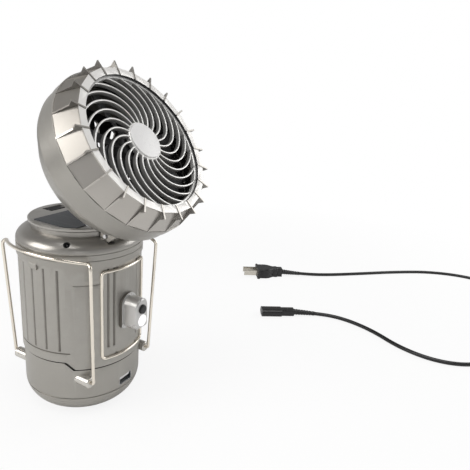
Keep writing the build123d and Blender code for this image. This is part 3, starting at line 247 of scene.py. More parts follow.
def drawn_streaks():
    """Fine drawing marks for wire, screws and turned metal."""
    tree, put, out = group_tree(
        "drawn_streaks",
        {"Tint": (COLOR, (0.6, 0.6, 0.6, 1)), "Depth": (FLOAT, 0.12), "Smoothest": (FLOAT, 0.12)},
        {"Color": COLOR, "Roughness": FLOAT, "Height": FLOAT})
    scaled = vector_math(tree, "MULTIPLY", object_place(tree), DRAWN_STRETCH)
    marks = noise(tree, scaled.outputs[0], Scale=1.0, Detail=3.0)
    shade = plus(tree, 1.0, swing(tree, marks, put["Depth"]))
    rough = plus(tree, put["Smoothest"], times(tree, marks, DRAWN_SPREAD))
    feed(tree, out, Color=tone(tree, put["Tint"], shade), Roughness=rough, Height=marks)
    return tree


GRAIN, RUB, STREAKS = moulded_grain(), edge_rub(), drawn_streaks()


# ------------------------------------------------------------------ materials
MOULDED_RELIEF, DRAWN_RELIEF = 0.2 * MM, 0.1 * MM
DRAWN_BUMP, CLEAR_BUMP, CELL_BUMP, PHOSPHOR_BUMP = 0.05, 0.02, 0.08, 0.1
COAT_ROUGHNESS = 0.2
CLEAR_IOR, CLEAR_SPREAD = 1.46, 0.04
CELL_WIDTH, COLLECTORS_PER_METRE = 12.5 * MM, 900.0
CELL_GAP_SHARE, COLLECTOR_SHARE = 0.035, 0.10
COLLECTOR_STRENGTH, LINE_STRENGTH = 0.35, 0.28
RESIN_IOR = 1.35


def new_material(name):
    """A material, its tree and its shader."""
    material = bpy.data.materials.new(name)
    material.use_nodes = True
    tree = material.node_tree
    return material, tree, tree.nodes["Principled BSDF"]


def with_effect(tree, group, **values):
    """A shared effect with these values."""
    return add(tree, "ShaderNodeGroup", node_tree=group, **values)


def cover(tree, shader, effect, bump, color=None, relief=MOULDED_RELIEF, **constants):
    """Lays an effect's colour, or the one given, with its roughness and relief on a shader."""
    height = add(tree, "ShaderNodeBump", Strength=bump, Distance=relief, Height=effect.outputs["Height"])
    feed(tree, shader, Base_Color=effect.outputs["Color"] if color is None else color,
         Roughness=effect.outputs["Roughness"], Normal=height.outputs["Normal"], **constants)


def moulded(name, code, smoothest=0.35, roughest=0.46, grain=1.0, bump=0.12, drift=0.05, rub=0.4, corner_dark=0.35,
            bare="#e6e5e1", metallic=0.0, coat=0.0, flake=0.0):
    """Moulded or painted plastic: grain, drifting tone, rubbed edges."""
    material, tree, shader = new_material(name)
    grained = with_effect(tree, GRAIN, Tint=rgb(code), Grain_Size=grain, Drift=drift, Flake=flake,
                          Smoothest=smoothest, Roughest=roughest)
    edges = add(tree, "ShaderNodeNewGeometry").outputs["Pointiness"]
    worn = with_effect(tree, RUB, Tint=grained.outputs["Color"], Pointiness=edges, Bare=rgb(bare),
                       Rub=rub, Dust=corner_dark)
    cover(tree, shader, grained, bump, worn.outputs["Color"], Metallic=metallic, Coat_Weight=coat,
          Coat_Roughness=COAT_ROUGHNESS)
    return material


def drawn_metal(name, code, smoothest, depth):
    """Bare or plated metal with fine marks."""
    material, tree, shader = new_material(name)
    marks = with_effect(tree, STREAKS, Tint=rgb(code), Depth=depth, Smoothest=smoothest)
    cover(tree, shader, marks, DRAWN_BUMP, relief=DRAWN_RELIEF, Metallic=1.0)
    return material


def clear_plastic(name, code, roughness, transmission=1.0, painted_glow=0.0):
    """Clear moulding, with a painted glow of the given strength that shows it white by itself though nothing
    lights it.
    """
    material, tree, shader = new_material(name)
    grained = with_effect(tree, GRAIN, Tint=rgb(code), Grain_Size=6.0, Drift=0.01, Smoothest=roughness,
                          Roughest=roughness + CLEAR_SPREAD)
    cover(tree, shader, grained, CLEAR_BUMP, Transmission_Weight=transmission, IOR=CLEAR_IOR,
          Emission_Color=WHITE, Emission_Strength=painted_glow)
    return material


def lines_along(tree, along, rate, share):
    """One on the lines that take this share of each step, nothing between them."""
    return math_node(tree, "LESS_THAN", math_node(tree, "FRACT", times(tree, along, rate)), share)


def solar_cells(name):
    """Dark cells under clear resin, with fine collector lines."""
    material, tree, shader = new_material(name)
    grained = with_effect(tree, GRAIN, Tint=rgb("#43464a"), Grain_Size=3.0, Drift=0.10, Smoothest=0.36,
                          Roughest=0.46)
    place = add(tree, "ShaderNodeSeparateXYZ", Vector=object_place(tree)).outputs
    gaps = lines_along(tree, place["X"], 1 / CELL_WIDTH, CELL_GAP_SHARE)
    collectors = lines_along(tree, place["Y"], COLLECTORS_PER_METRE, COLLECTOR_SHARE)
    lines = math_node(tree, "MAXIMUM", gaps, times(tree, collectors, COLLECTOR_STRENGTH))
    share = times(tree, lines, LINE_STRENGTH)
    colour = mix_colors(tree, share, grained.outputs["Color"], rgb("#8a8a86"))
    cover(tree, shader, grained, CELL_BUMP, colour, IOR=RESIN_IOR)
    return material


def phosphor(name, code, depth):
    """Phosphor of the lamp chips: yellow, unlit."""
    material, tree, shader = new_material(name)
    grained = with_effect(tree, GRAIN, Tint=rgb(code), Grain_Size=2.0, Drift=0.08, Smoothest=0.3,
                          Roughest=0.5)
    cover(tree, shader, grained, PHOSPHOR_BUMP, Subsurface_Weight=depth)
    return material


SHELL_PAINT = {"smoothest": 0.30, "roughest": 0.38, "bump": 0.08, "metallic": 0.65, "flake": 0.16}
SHELL_WEAR = {"drift": 0.02, "rub": 0.12, "corner_dark": 0.10}

LOOKS = {
    "body": moulded("silver_grey_shell", "#a09d97", **SHELL_PAINT, **SHELL_WEAR),
    # darker copy of the shell paint: a painted shade for the flute bottoms and the rim of the torch flange
    "painted_crease_shade": moulded("silver_grey_painted_crease_shade", "#6f6b65", 0.40, 0.50, metallic=0.55, rub=0.1, flake=0.10),
    "dome": moulded("silver_dome", "#a6a39e", 0.27, 0.33, bump=0.05, metallic=0.75, flake=0.08, **SHELL_WEAR),
    "seam": moulded("shadow_seam", "#232220", 0.60, 0.75, rub=0.0, corner_dark=0.0),
    "base": moulded("silver_grey_base", "#a5a29c", **SHELL_PAINT, **SHELL_WEAR),
    "drum": moulded("silver_drum", "#b6b2ac", 0.27, 0.33, bump=0.015, drift=0.03, metallic=0.85, rub=0.10,
                    corner_dark=0.10, flake=0.05),
    # lighter copy of the drum paint: painted highlight on the facets round the grille
    "rim": moulded("silver_rim_painted_highlight", "#eceae6", 0.26, 0.34, metallic=0.25, rub=0.15, corner_dark=0.1, flake=0.06),
    # darker copy of the drum paint: painted shade on the sides of the fins
    "painted_shade_fin_sides": moulded("painted_shade_fin_sides", "#6f6c68", 0.30, 0.38, metallic=0.70, rub=0.3, flake=0.08),
    # darker copy of the blade colour: painted shade on the sides of the grille blades
    "painted_shade_blade_sides": moulded("painted_shade_blade_sides", "#a3a29f", 0.32, 0.42, metallic=0.50, rub=0.2, corner_dark=0.1),
    # near-black painted shade for the inner faces of the head round the impeller
    "inside": moulded("drum_inside", "#1b1b1c", 0.45, 0.60, bare="#2c2c2e", rub=0.1, corner_dark=0.0),
    "blades": moulded("silver_blades", "#e8e7e4", 0.26, 0.36, metallic=0.45, rub=0.6, corner_dark=0.1),
    "badge": moulded("pearl_badge", "#e3e2e0", 0.34, 0.42, metallic=0.10, rub=0.1, grain=0.7, flake=0.06),
    "boss": moulded("boss_silver", "#cfccc6", 0.20, 0.28, metallic=0.80, rub=0.4),
    "black": moulded("black_plastic", "#1d1d1f", 0.34, 0.48, bare="#5a5a5c", rub=0.3, corner_dark=0.0, bump=0.2),
    "lead": moulded("black_lead", "#0e0e0f", 0.30, 0.42, bare="#4c4c4e", rub=0.15, corner_dark=0.0, bump=0.15,
                    coat=0.2),
    "impeller": moulded("impeller_grey", "#4a4a4b", 0.34, 0.46, bare="#6a6a6c", rub=0.2, corner_dark=0.0,
                        metallic=0.3),
    "rubber": moulded("pad_rubber", "#242424", 0.65, 0.85, bare="#4a4a4a", rub=0.2, corner_dark=0.1, bump=0.4),
    "white": moulded("white_plastic", "#ececea", 0.22, 0.32, rub=0.1, corner_dark=0.15),
    "torch": moulded("torch_silver", "#c6c5c3", 0.24, 0.32, metallic=0.65, rub=0.15, corner_dark=0.10),
    "button": moulded("button_black", "#202022", 0.40, 0.55, bare="#606062", rub=0.4, corner_dark=0.0, bump=0.3),
    "board": moulded("board_green", "#1e5b38", 0.25, 0.35, corner_dark=0.1, bare="#c8a35a"),
    "wrap": moulded("battery_wrap", "#2c5fa8", 0.18, 0.28, bare="#8fb0de", coat=0.3),
    "wire": drawn_metal("plated_wire", "#ebe4d8", 0.08, 0.10),
    "steel": drawn_metal("screw_steel", "#b9bbbe", 0.22, 0.20),
    "brass": drawn_metal("plated_contact", "#cfcac0", 0.16, 0.15),
    "solar": solar_cells("solar_cells"),
    "globe": clear_plastic("clear_globe", "#fcfcfb", 0.05),
    # painted glow that makes the unlit torch lens show white
    "lens": clear_plastic("torch_lens", "#ffffff", 0.12, 0.20, painted_glow=0.35),
    "leds": phosphor("lamp_phosphor", "#f2e29a", 0.2),
}


# ------------------------------------------------------------------ pieces that keep the shape of the CAD
WELD = 0.002 * MM
FLAT_ANGLE = math.radians(0.6)
EDGE_ANGLE, EDGE_SEGMENTS = 32, 2


def keep(name, mesh, body, material, stands_for=(), smooth_angle=35):
    """Turns a finished mesh into a piece of the object."""
    piece = in_scene(name, mesh)
    mesh.materials.clear()
    mesh.materials.append(material)
    mesh.shade_smooth()
    mesh.set_sharp_from_angle(angle=math.radians(smooth_angle))
    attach(piece, body)
    if stands_for:
        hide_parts(*stands_for)
    return piece


def dress(node, material, bevel):
    """A welded, softly bevelled copy of a CAD node that stands for it."""
    mesh = frame["nodes"][node].data.copy()
    work = bmesh.new()
    work.from_mesh(mesh)
    bmesh.ops.remove_doubles(work, verts=work.verts, dist=WELD)
    bmesh.ops.dissolve_limit(work, angle_limit=FLAT_ANGLE, verts=work.verts, edges=work.edges)
    work.to_mesh(mesh)
    work.free()
    piece = keep(node + "_finish", mesh, BODY_OF[node], material, (node,), EDGE_ANGLE)
    if bevel:
        soft = piece.modifiers.new("edge", "BEVEL")
        soft.width = bevel
        soft.segments = EDGE_SEGMENTS
        soft.limit_method = "ANGLE"
        soft.angle_limit = math.radians(EDGE_ANGLE)
        soft.harden_normals = True
        soft.use_clamp_overlap = True
    return piece


# look and bevel width in millimetres, by node
FINISHES = {
    "base_shell": ("base", 0.15), "bail_bosses": ("boss", 0.2), "foot_plate": ("black", 0.2),
    "foot_pads": ("rubber", 0.2), "foot_screws": ("steel", 0.0), "battery_pack": ("wrap", 0.2),
    "charge_board": ("board", 0.1), "lamp_deck": ("white", 0.2), "lamp_globe": ("globe", 0.0),
    "led_column": ("white", 0.2), "led_strips": ("white", 0.0), "bail_left": ("wire", 0.0),
    "bail_right": ("wire", 0.0), "outer_sleeve": ("body", 0.2), "guide_ring": ("black", 0.2),
    "shoulder_ring": ("dome", 0.3), "top_cap": ("dome", 0.3), "solar_panel": ("solar", 0.15),
    "rocker_frame": ("black", 0.2), "fan_rocker": ("button", 0.2), "dc_jack": ("black", 0.0),
    "torch_housing": ("torch", 0.25), "torch_lens": ("lens", 0.15), "torch_reflector": ("wire", 0.0),
    "torch_button": ("button", 0.15), "torch_guard": ("wire", 0.0), "usb_shell": ("steel", 0.0),
    "usb_tongue": ("white", 0.1), "inlet_socket": ("black", 0.2), "inlet_pins": ("brass", 0.2),
    "back_shell": ("body", 0.3), "head_screws": ("steel", 0.0), "head_band": ("body", 0.2),
    "head_bezel": ("drum", 0.12), "grille_badge": ("badge", 0.2), "fan_motor": ("steel", 0.2),
    "motor_mount": ("black", 0.2), "fan_impeller": ("impeller", 0.2), "motor_shaft": ("steel", 0.0),
    "hinge_yoke": ("body", 0.25), "hinge_pin": ("steel", 0.2), "plug_body": ("lead", 0.3),
    "plug_blades": ("brass", 0.0), "cord_connector": ("lead", 0.3),
}

dressed = {node: dress(node, LOOKS[look], width * MM) for node, (look, width) in FINISHES.items()}


# ------------------------------------------------------------------ painted shade and highlight on chosen faces
HEAD_TILT = math.radians(55.1)
HINGE = Vector((0, -37.0, 139.0)) * MM
HINGE_DROP, HINGE_BACK = 42.1 * MM, 9.5 * MM
HEAD_PLACE = (Matrix.Translation(HINGE) @ Matrix.Rotation(HEAD_TILT, 4, "X")
              @ Matrix.Translation((0, HINGE_DROP, HINGE_BACK)))
HEAD_DEPTH = 47.0 * MM
OPENING_R, RIM_R, RIM_DEPTH = 46.6 * MM, 51.6 * MM, 8 * MM
BEZEL_REACH, BAND_REACH, BACK_REACH = OPENING_R + 3 * MM, 70 * MM, 47.5 * MM
FLUTE_FLOOR_R, FLUTES_LOW, FLUTES_HIGH = 43.5 * MM, 50 * MM, 117 * MM
SEAM_IN_R, SEAM_OUT_R, SEAM_LOW, SEAM_HIGH = 41.5 * MM, 42.6 * MM, 39 * MM, 46.9 * MM
SEAM_LEDGES, LEDGE_SLACK = (40.4 * MM, 46.2 * MM), 0.1 * MM
SLEEVE_EDGE_TOP, SEAM_OPENING = 47.3 * MM, 0.35 * MM
FLANGE_FRONT = -46.6 * MM


def painted_shade_and_highlight(piece, material, wanted, place=HEAD_PLACE):
    """Second material, for painted shade and highlight, on the faces that the test picks by their middle and
    normal in the frame at place.
    """
    piece.data.materials.append(material)
    slot = len(piece.data.materials) - 1
    home = place.inverted()
    turn = home.to_3x3()
    for face in piece.data.polygons:
        if wanted(home @ face.center, turn @ face.normal):
            face.material_index = slot


def out_from_axis(point):
    return math.hypot(point.x, point.y)


def outward(middle, normal, share):
    """Whether a face looks away from the axis with at least this share of its normal."""
    return middle.x * normal.x + middle.y * normal.y > share * out_from_axis(middle)


def looks_in(reach):
    """Test for faces that look in at the impeller, which are painted dark as shade."""
    def test(middle, normal):
        faces_front = normal.z > 0.5 and middle.z < HEAD_DEPTH / 2
        return out_from_axis(middle) < reach and (outward(middle, -normal, 0.3) or faces_front)
    return test


def on_rim(middle, normal):
    """Test for the facets between the fins, round the grille, which get a painted highlight."""
    return normal.z > 0.45 and middle.z > HEAD_DEPTH - RIM_DEPTH and out_from_axis(middle) < RIM_R


def on_fin_side(middle, normal):
    """Test for the flat sides of the fins, which are given a painted shade."""
    across = abs(middle.x * normal.y - middle.y * normal.x)
    return across > 0.8 * out_from_axis(middle) and out_from_axis(middle) > OPENING_R


def on_blade_side(_middle, normal):
    """Test for all of a grille blade but its front, which is given a painted shade."""
    return normal.z < 0.3


def in_flute(middle, normal):
    """Test for the bottoms of the flutes and moulded lines in the sleeve's wall, which are given a painted
    shade.
    """
    low_enough = out_from_axis(middle) < FLUTE_FLOOR_R and FLUTES_LOW < middle.z < FLUTES_HIGH
    return low_enough and outward(middle, normal, 0.3)


def in_seam(middle, normal):
    """Test for the rebate that runs under the sleeve along the base's rim and notch."""
    on_wall = SEAM_IN_R < out_from_axis(middle) < SEAM_OUT_R and SEAM_LOW < middle.z < SEAM_HIGH
    on_ledge = min(abs(middle.z - height) for height in SEAM_LEDGES) < LEDGE_SLACK
    return (on_wall and outward(middle, normal, 0.9)) or (on_ledge and normal.z > 0.9)


def on_flange_edge(middle, normal):
    """Test for the rim of the torch's mounting flange, which is given a painted shade."""
    return middle.y > FLANGE_FRONT and abs(normal.y) < 0.5


# painted shade on the faces inside the head
for node, reach in (("head_bezel", BEZEL_REACH), ("head_band", BAND_REACH), ("back_shell", BACK_REACH)):
    painted_shade_and_highlight(dressed[node], LOOKS["inside"], looks_in(reach))
# painted highlight on the grille's rim facets
painted_shade_and_highlight(dressed["head_bezel"], LOOKS["rim"], on_rim)
# painted shade on the fin sides
painted_shade_and_highlight(dressed["head_bezel"], LOOKS["painted_shade_fin_sides"], on_fin_side)
# painted shade in the flutes of the sleeve
painted_shade_and_highlight(dressed["outer_sleeve"], LOOKS["painted_crease_shade"], in_flute, Matrix())
painted_shade_and_highlight(dressed["base_shell"], LOOKS["seam"], in_seam, Matrix())
# painted shade round the rim of the torch flange
painted_shade_and_highlight(dressed["torch_housing"], LOOKS["painted_crease_shade"], on_flange_edge, Matrix())

# the sleeve's lower edge stands higher than in the CAD, which widens the dark line above the base
for vertex in dressed["outer_sleeve"].data.vertices:
    if vertex.co.z < SLEEVE_EDGE_TOP:
        vertex.co.z += SEAM_OPENING


# ------------------------------------------------------------------ geometry helpers
def geometry_group(name, inputs):
    """An empty group of geometry nodes that is given a material as well."""
    sockets = {"Geometry": ("NodeSocketGeometry", None), **inputs, "Material": ("NodeSocketMaterial", None)}
    return group_tree(name, sockets, {"Geometry": "NodeSocketGeometry"}, "GeometryNodeTree")


def on_circle(tree, radius, angle, height=0.0):
    """Point at a radius and angle about the axis."""
    across = times(tree, radius, math_node(tree, "COSINE", angle))
    along = times(tree, radius, math_node(tree, "SINE", angle))
    return add(tree, "ShaderNodeCombineXYZ", X=across, Y=along, Z=height).outputs[0]


def copied(tree, points, shape, angle):
    """A shape at each point, turned about the axis."""
    turn = add(tree, "ShaderNodeCombineXYZ", Z=angle).outputs[0]
    return add(tree, "GeometryNodeInstanceOnPoints", Points=points, Instance=shape, Rotation=turn).outputs[0]


def finish_tree(tree, put, out, geometry):
    """Ends a tree in Realize Instances and Set Material."""
    real = add(tree, "GeometryNodeRealizeInstances", Geometry=geometry)
    paint = add(tree, "GeometryNodeSetMaterial", Geometry=real.outputs[0], Material=put["Material"])
    feed(tree, out, Geometry=paint.outputs[0])


def grown(tree, name, values, material):
    """The plain mesh that a tree makes with these values."""
    host = in_scene(name, bpy.data.meshes.new(name))
    modifier = host.modifiers.new("grow", "NODES")
    modifier.node_group = tree
    for item in tree.interface.items_tree:
        if item.in_out == "INPUT" and item.name in values:
            modifier[item.identifier] = values[item.name]
        if item.in_out == "INPUT" and item.name == "Material":
            modifier[item.identifier] = material
    ready = host.evaluated_get(bpy.context.evaluated_depsgraph_get())
    mesh = bpy.data.meshes.new_from_object(ready)
    host.modifiers.remove(modifier)
    bpy.data.objects.remove(host)
    return mesh


def solid_mesh(name, work):
    """The mesh of a closed bmesh, its normals turned outward."""
    bmesh.ops.recalc_face_normals(work, faces=work.faces)
    mesh = bpy.data.meshes.new(name)
    work.to_mesh(mesh)
    work.free()
    return mesh


# ------------------------------------------------------------------ spiral grille
FINS = 22
FIN_PHASE = math.radians(3.1)
BADGE_R = 13.4 * MM
BLADE_T, BLADE_H, BLADE_SINK = 1.1 * MM, 3.4 * MM, 1.9 * MM
BLADE_SWEEP, BLADE_CURVE = math.radians(55.0), 1.7
BLADE_ROUNDING, BLADE_IN_HUB, BLADE_SHORT_OF_RIM = 0.35 * MM, 0.6 * MM, 0.5 * MM
BLADE_POINTS, ROUNDING_POINTS = 28, 3
GRILLE_TOP = HEAD_DEPTH - BLADE_SINK
GRILLE_FOOT = GRILLE_TOP - BLADE_H
RING_OUT_R, RING_IN_R, RING_FLAT_R, RING_BEVEL = (
    OPENING_R - 0.05 * MM, OPENING_R - 1.4 * MM, OPENING_R - 1.1 * MM, 0.3 * MM)
HUB_LIP_R, HUB_WELL_R, HUB_BORE_R = BADGE_R - 0.4 * MM, BADGE_R - 1.0 * MM, 1 * MM
HUB_EDGE_DROP, HUB_LIP_DROP, HUB_WELL_DROP = 0.5 * MM, 0.1 * MM, 0.9 * MM
RING_STEPS = 128


def spiral_tree():
    """Blades on a turning, growing radius, copied round the axis."""
    tree, put, out = geometry_group("spiral_blades", {
        "Count": (WHOLE, 22), "Inner": (FLOAT, 0.01), "Outer": (FLOAT, 0.05), "Sweep": (FLOAT, 1.0),
        "Curve": (FLOAT, 1.7), "Thickness": (FLOAT, 0.0011), "Height": (FLOAT, 0.0034),
        "Rounding": (FLOAT, 0.0004), "Phase": (FLOAT, 0.0)})
    line = add(tree, "GeometryNodeCurvePrimitiveLine", End=(1, 0, 0)).outputs[0]
    fine = add(tree, "GeometryNodeResampleCurve", Curve=line, Count=BLADE_POINTS).outputs[0]
    share = add(tree, "GeometryNodeSplineParameter").outputs["Factor"]
    reach = minus(tree, put["Outer"], put["Inner"])
    radius = plus(tree, put["Inner"], times(tree, reach, share))
    angle = times(tree, put["Sweep"], math_node(tree, "POWER", share, put["Curve"]))
    bent = add(tree, "GeometryNodeSetPosition", Geometry=fine,
               Position=on_circle(tree, radius, angle)).outputs[0]
    upright = add(tree, "GeometryNodeSetCurveNormal", mode="Z_UP", Curve=bent).outputs[0]
    outline = add(tree, "GeometryNodeCurvePrimitiveQuadrilateral", Width=put["Thickness"],
                  Height=put["Height"]).outputs[0]
    soft = add(tree, "GeometryNodeFilletCurve", mode="POLY", Curve=outline, Radius=put["Rounding"],
               Count=ROUNDING_POINTS).outputs[0]
    blade = add(tree, "GeometryNodeCurveToMesh", Curve=upright, Profile_Curve=soft, Fill_Caps=True).outputs[0]
    spots = add(tree, "GeometryNodePoints", Count=put["Count"]).outputs[0]
    step = math_node(tree, "DIVIDE", TURN, put["Count"])
    turned = times(tree, add(tree, "GeometryNodeInputIndex").outputs[0], step)
    finish_tree(tree, put, out, copied(tree, spots, blade, plus(tree, put["Phase"], turned)))
    return tree


def grille_ring(name, outline):
    """A turned ring of the grille from a closed outline of (radius, height) points."""
    work = bmesh.new()
    rows = []
    for i in range(RING_STEPS):
        a = TURN * i / RING_STEPS
        rows.append([work.verts.new((r * math.cos(a), r * math.sin(a), z)) for r, z in outline])
    for i in range(RING_STEPS):
        for j in range(len(outline)):
            k = (j + 1) % len(outline)
            work.faces.new((rows[i][j], rows[i - 1][j], rows[i - 1][k], rows[i][k]))
    mesh = solid_mesh(name, work)
    mesh.transform(HEAD_PLACE)
    return keep(name, mesh, "head", LOOKS["blades"])


blades = grown(spiral_tree(), "grille_blades", {
    "Count": FINS, "Inner": BADGE_R - BLADE_IN_HUB, "Outer": OPENING_R - BLADE_SHORT_OF_RIM,
    "Sweep": BLADE_SWEEP, "Curve": BLADE_CURVE, "Thickness": BLADE_T, "Height": BLADE_H,
    "Rounding": BLADE_ROUNDING, "Phase": FIN_PHASE - BLADE_SWEEP}, LOOKS["blades"])
blades.transform(HEAD_PLACE @ Matrix.Translation((0, 0, HEAD_DEPTH - BLADE_SINK - BLADE_H / 2)))
spiral = keep("spiral_blades", blades, "head", LOOKS["blades"], ("spiral_grille",))
# painted shade on the blade sides
painted_shade_and_highlight(spiral, LOOKS["painted_shade_blade_sides"], on_blade_side)
grille_ring("grille_ring", (
    (RING_OUT_R, GRILLE_TOP), (RING_OUT_R, GRILLE_FOOT), (RING_IN_R, GRILLE_FOOT),
    (RING_IN_R, GRILLE_TOP - RING_BEVEL), (RING_FLAT_R, GRILLE_TOP)))
grille_ring("grille_hub", (
    (BADGE_R, GRILLE_FOOT), (BADGE_R, GRILLE_TOP - HUB_EDGE_DROP), (HUB_LIP_R, GRILLE_TOP - HUB_LIP_DROP),
    (HUB_WELL_R, GRILLE_TOP - HUB_LIP_DROP), (HUB_WELL_R, GRILLE_TOP - HUB_WELL_DROP),
    (HUB_BORE_R, GRILLE_TOP - HUB_WELL_DROP), (HUB_BORE_R, GRILLE_FOOT)))


# ------------------------------------------------------------------ lamp chips
CHIP_ROWS, CHIP_GAP, CHIP_LOW = 12, 5.0 * MM, 47.5 * MM
CHIP_SIZE = (0.7 * MM, 3.0 * MM, 3.0 * MM)
COLUMN_SIDES = 6
STRIP_FACE = 8.79 * MM


def chip_tree():
    """Lamp chips in rows up the strips of the column."""
    tree, put, out = geometry_group("lamp_chips", {
        "Rows": (WHOLE, 12), "Gap": (FLOAT, 0.005), "Low": (FLOAT, 0.05), "Sides": (WHOLE, 6),
        "Face": (FLOAT, 0.009), "Size": (VECTOR, (0.001, 0.003, 0.003))})
    spots = add(tree, "GeometryNodePoints", Count=times(tree, put["Rows"], put["Sides"])).outputs[0]
    number = add(tree, "GeometryNodeInputIndex").outputs[0]
    row = math_node(tree, "FLOOR", math_node(tree, "DIVIDE", plus(tree, number, 0.5), put["Sides"]))
    side = minus(tree, number, times(tree, row, put["Sides"]))
    angle = times(tree, plus(tree, side, 0.5), math_node(tree, "DIVIDE", TURN, put["Sides"]))
    height = plus(tree, put["Low"], times(tree, plus(tree, row, 0.5), put["Gap"]))
    spread = add(tree, "GeometryNodeSetPosition", Geometry=spots,
                 Position=on_circle(tree, put["Face"], angle, height)).outputs[0]
    chip = add(tree, "GeometryNodeMeshCube", Size=put["Size"]).outputs[0]
    finish_tree(tree, put, out, copied(tree, spread, chip, angle))
    return tree


chips = grown(chip_tree(), "lamp_chip_mesh", {
    "Rows": CHIP_ROWS, "Gap": CHIP_GAP, "Low": CHIP_LOW, "Sides": COLUMN_SIDES, "Face": STRIP_FACE,
    "Size": CHIP_SIZE}, LOOKS["leds"])
keep("lamp_chips", chips, "base", LOOKS["leds"])


# ------------------------------------------------------------------ mains lead
# places along the lead are in millimetres
CORD_D = 4.0 * MM
CORD_Z = 2.0
CONNECTOR_EXIT = (223.0, -93.0, 4.1)
PLUG_EXIT = (322.0, -36.0, 6.0)
CONNECTOR_ROUTE = (
    (234.0, -109.0, 3.05), (246.0, -138.0, CORD_Z), (238.0, -176.0, CORD_Z), (216.0, -212.0, CORD_Z),
    (211.0, -250.0, CORD_Z), (228.0, -283.0, CORD_Z), (264.0, -300.0, CORD_Z), (302.0, -303.0, CORD_Z))
PLUG_ROUTE = (
    (334.0, -53.0, 4.0), (356.0, -82.0, CORD_Z), (394.0, -122.0, CORD_Z), (434.0, -162.0, CORD_Z),
    (468.0, -204.0, CORD_Z), (484.0, -252.0, CORD_Z), (474.0, -298.0, CORD_Z), (444.0, -322.0, CORD_Z),
    (406.0, -318.0, CORD_Z + 0.6), (376.0, -302.0, CORD_Z + 2.4))
COIL_CENTRE = (345.0, -322.0)
COIL_TURNS = ((25.0, 2.0), (21.0, 2.0), (21.0, 6.0), (25.0, 6.0))
TURN_POINTS, EASE_POINTS = 16, 4
CORD_ORDER, CORD_STEPS, CORD_ROUNDNESS = 3, 8, 5
RELIEF_LENGTH = 24 * MM
RELIEF_STEP = 0.75 * MM
RELIEF_R = (3.3 * MM, 2.25 * MM)
RELIEF_GROOVE, GROOVE_EVERY = 0.4 * MM, 4
RELIEF_SIDES = 24


def coil_points():
    """Turns wound clockwise from the top of the coil, easing from each turn to the next."""
    points = []
    last = len(COIL_TURNS) * TURN_POINTS
    for i in range(last + 1):
        turn, part = divmod(i, TURN_POINTS)
        here = COIL_TURNS[min(turn, len(COIL_TURNS) - 1)]
        then = COIL_TURNS[min(turn + 1, len(COIL_TURNS) - 1)]
        ease = max(0.0, (part - TURN_POINTS + EASE_POINTS) / EASE_POINTS)
        radius = here[0] + (then[0] - here[0]) * ease
        height = here[1] + (then[1] - here[1]) * ease
        a = math.pi / 2 - TURN * i / TURN_POINTS
        points.append((COIL_CENTRE[0] + radius * math.cos(a), COIL_CENTRE[1] + radius * math.sin(a),
                       height))
    return points


def lead_curve():
    """The lead from the connector through the coil to the plug."""
    route = [CONNECTOR_EXIT, *CONNECTOR_ROUTE, *coil_points(), *reversed(PLUG_ROUTE), PLUG_EXIT]
    data = bpy.data.curves.new("mains_lead", "CURVE")
    data.dimensions = "3D"
    data.bevel_depth = CORD_D / 2
    data.bevel_resolution = CORD_ROUNDNESS
    data.resolution_u = CORD_STEPS
    data.use_fill_caps = True
    spline = data.splines.new("NURBS")
    spline.points.add(len(route) - 1)
    for point, place in zip(spline.points, route):
        point.co = (*[v * MM for v in place], 1.0)
    spline.order_u = CORD_ORDER
    spline.use_endpoint_u = True
    data.materials.append(LOOKS["lead"])
    return in_scene("mains_lead", data)


def line_points(curve):
    """Points along the middle of a lead."""
    data = curve.data.copy()
    data.bevel_depth = 0
    host = in_scene("lead_line", data)
    mesh = bpy.data.meshes.new_from_object(host.evaluated_get(bpy.context.evaluated_depsgraph_get()))
    points = [vertex.co.copy() for vertex in mesh.vertices]
    bpy.data.objects.remove(host)
    return points


def along(points, distance):
    """Point and direction at a distance along a line of points."""
    for here, there in zip(points, points[1:]):
        span = (there - here).length
        if distance <= span:
            return here.lerp(there, distance / span), (there - here).normalized()
        distance -= span
    return points[-1], (points[-1] - points[-2]).normalized()


def relief(name, points):
    """Tapered, grooved sleeve round the lead where it leaves its end piece."""
    work = bmesh.new()
    rows = []
    count = round(RELIEF_LENGTH / RELIEF_STEP)
    angles = [TURN * k / RELIEF_SIDES for k in range(RELIEF_SIDES)]
    for i in range(count + 1):
        middle, ahead = along(points, i * RELIEF_STEP)
        across = ahead.cross(Vector((0, 0, 1))).normalized()
        rise = across.cross(ahead)
        radius = RELIEF_R[0] + (RELIEF_R[1] - RELIEF_R[0]) * i / count
        if i % GROOVE_EVERY == GROOVE_EVERY - 1 and i < count - 2:
            radius -= RELIEF_GROOVE
        rows.append([work.verts.new(middle + radius * (across * math.cos(a) + rise * math.sin(a)))
                     for a in angles])
    for low, high in zip(rows, rows[1:]):
        for k in range(RELIEF_SIDES):
            work.faces.new((low[k - 1], low[k], high[k], high[k - 1]))
    work.faces.new(rows[0])
    work.faces.new(rows[-1])
    return keep(name, solid_mesh(name, work), "base", LOOKS["lead"], smooth_angle=50)


lead = lead_curve()
middle_line = line_points(lead)
reliefs = [relief("connector_relief", middle_line), relief("plug_relief", middle_line[::-1])]
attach(lead, "base")
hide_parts("cord_connector_run", "cord_plug_run", "cord_coil")


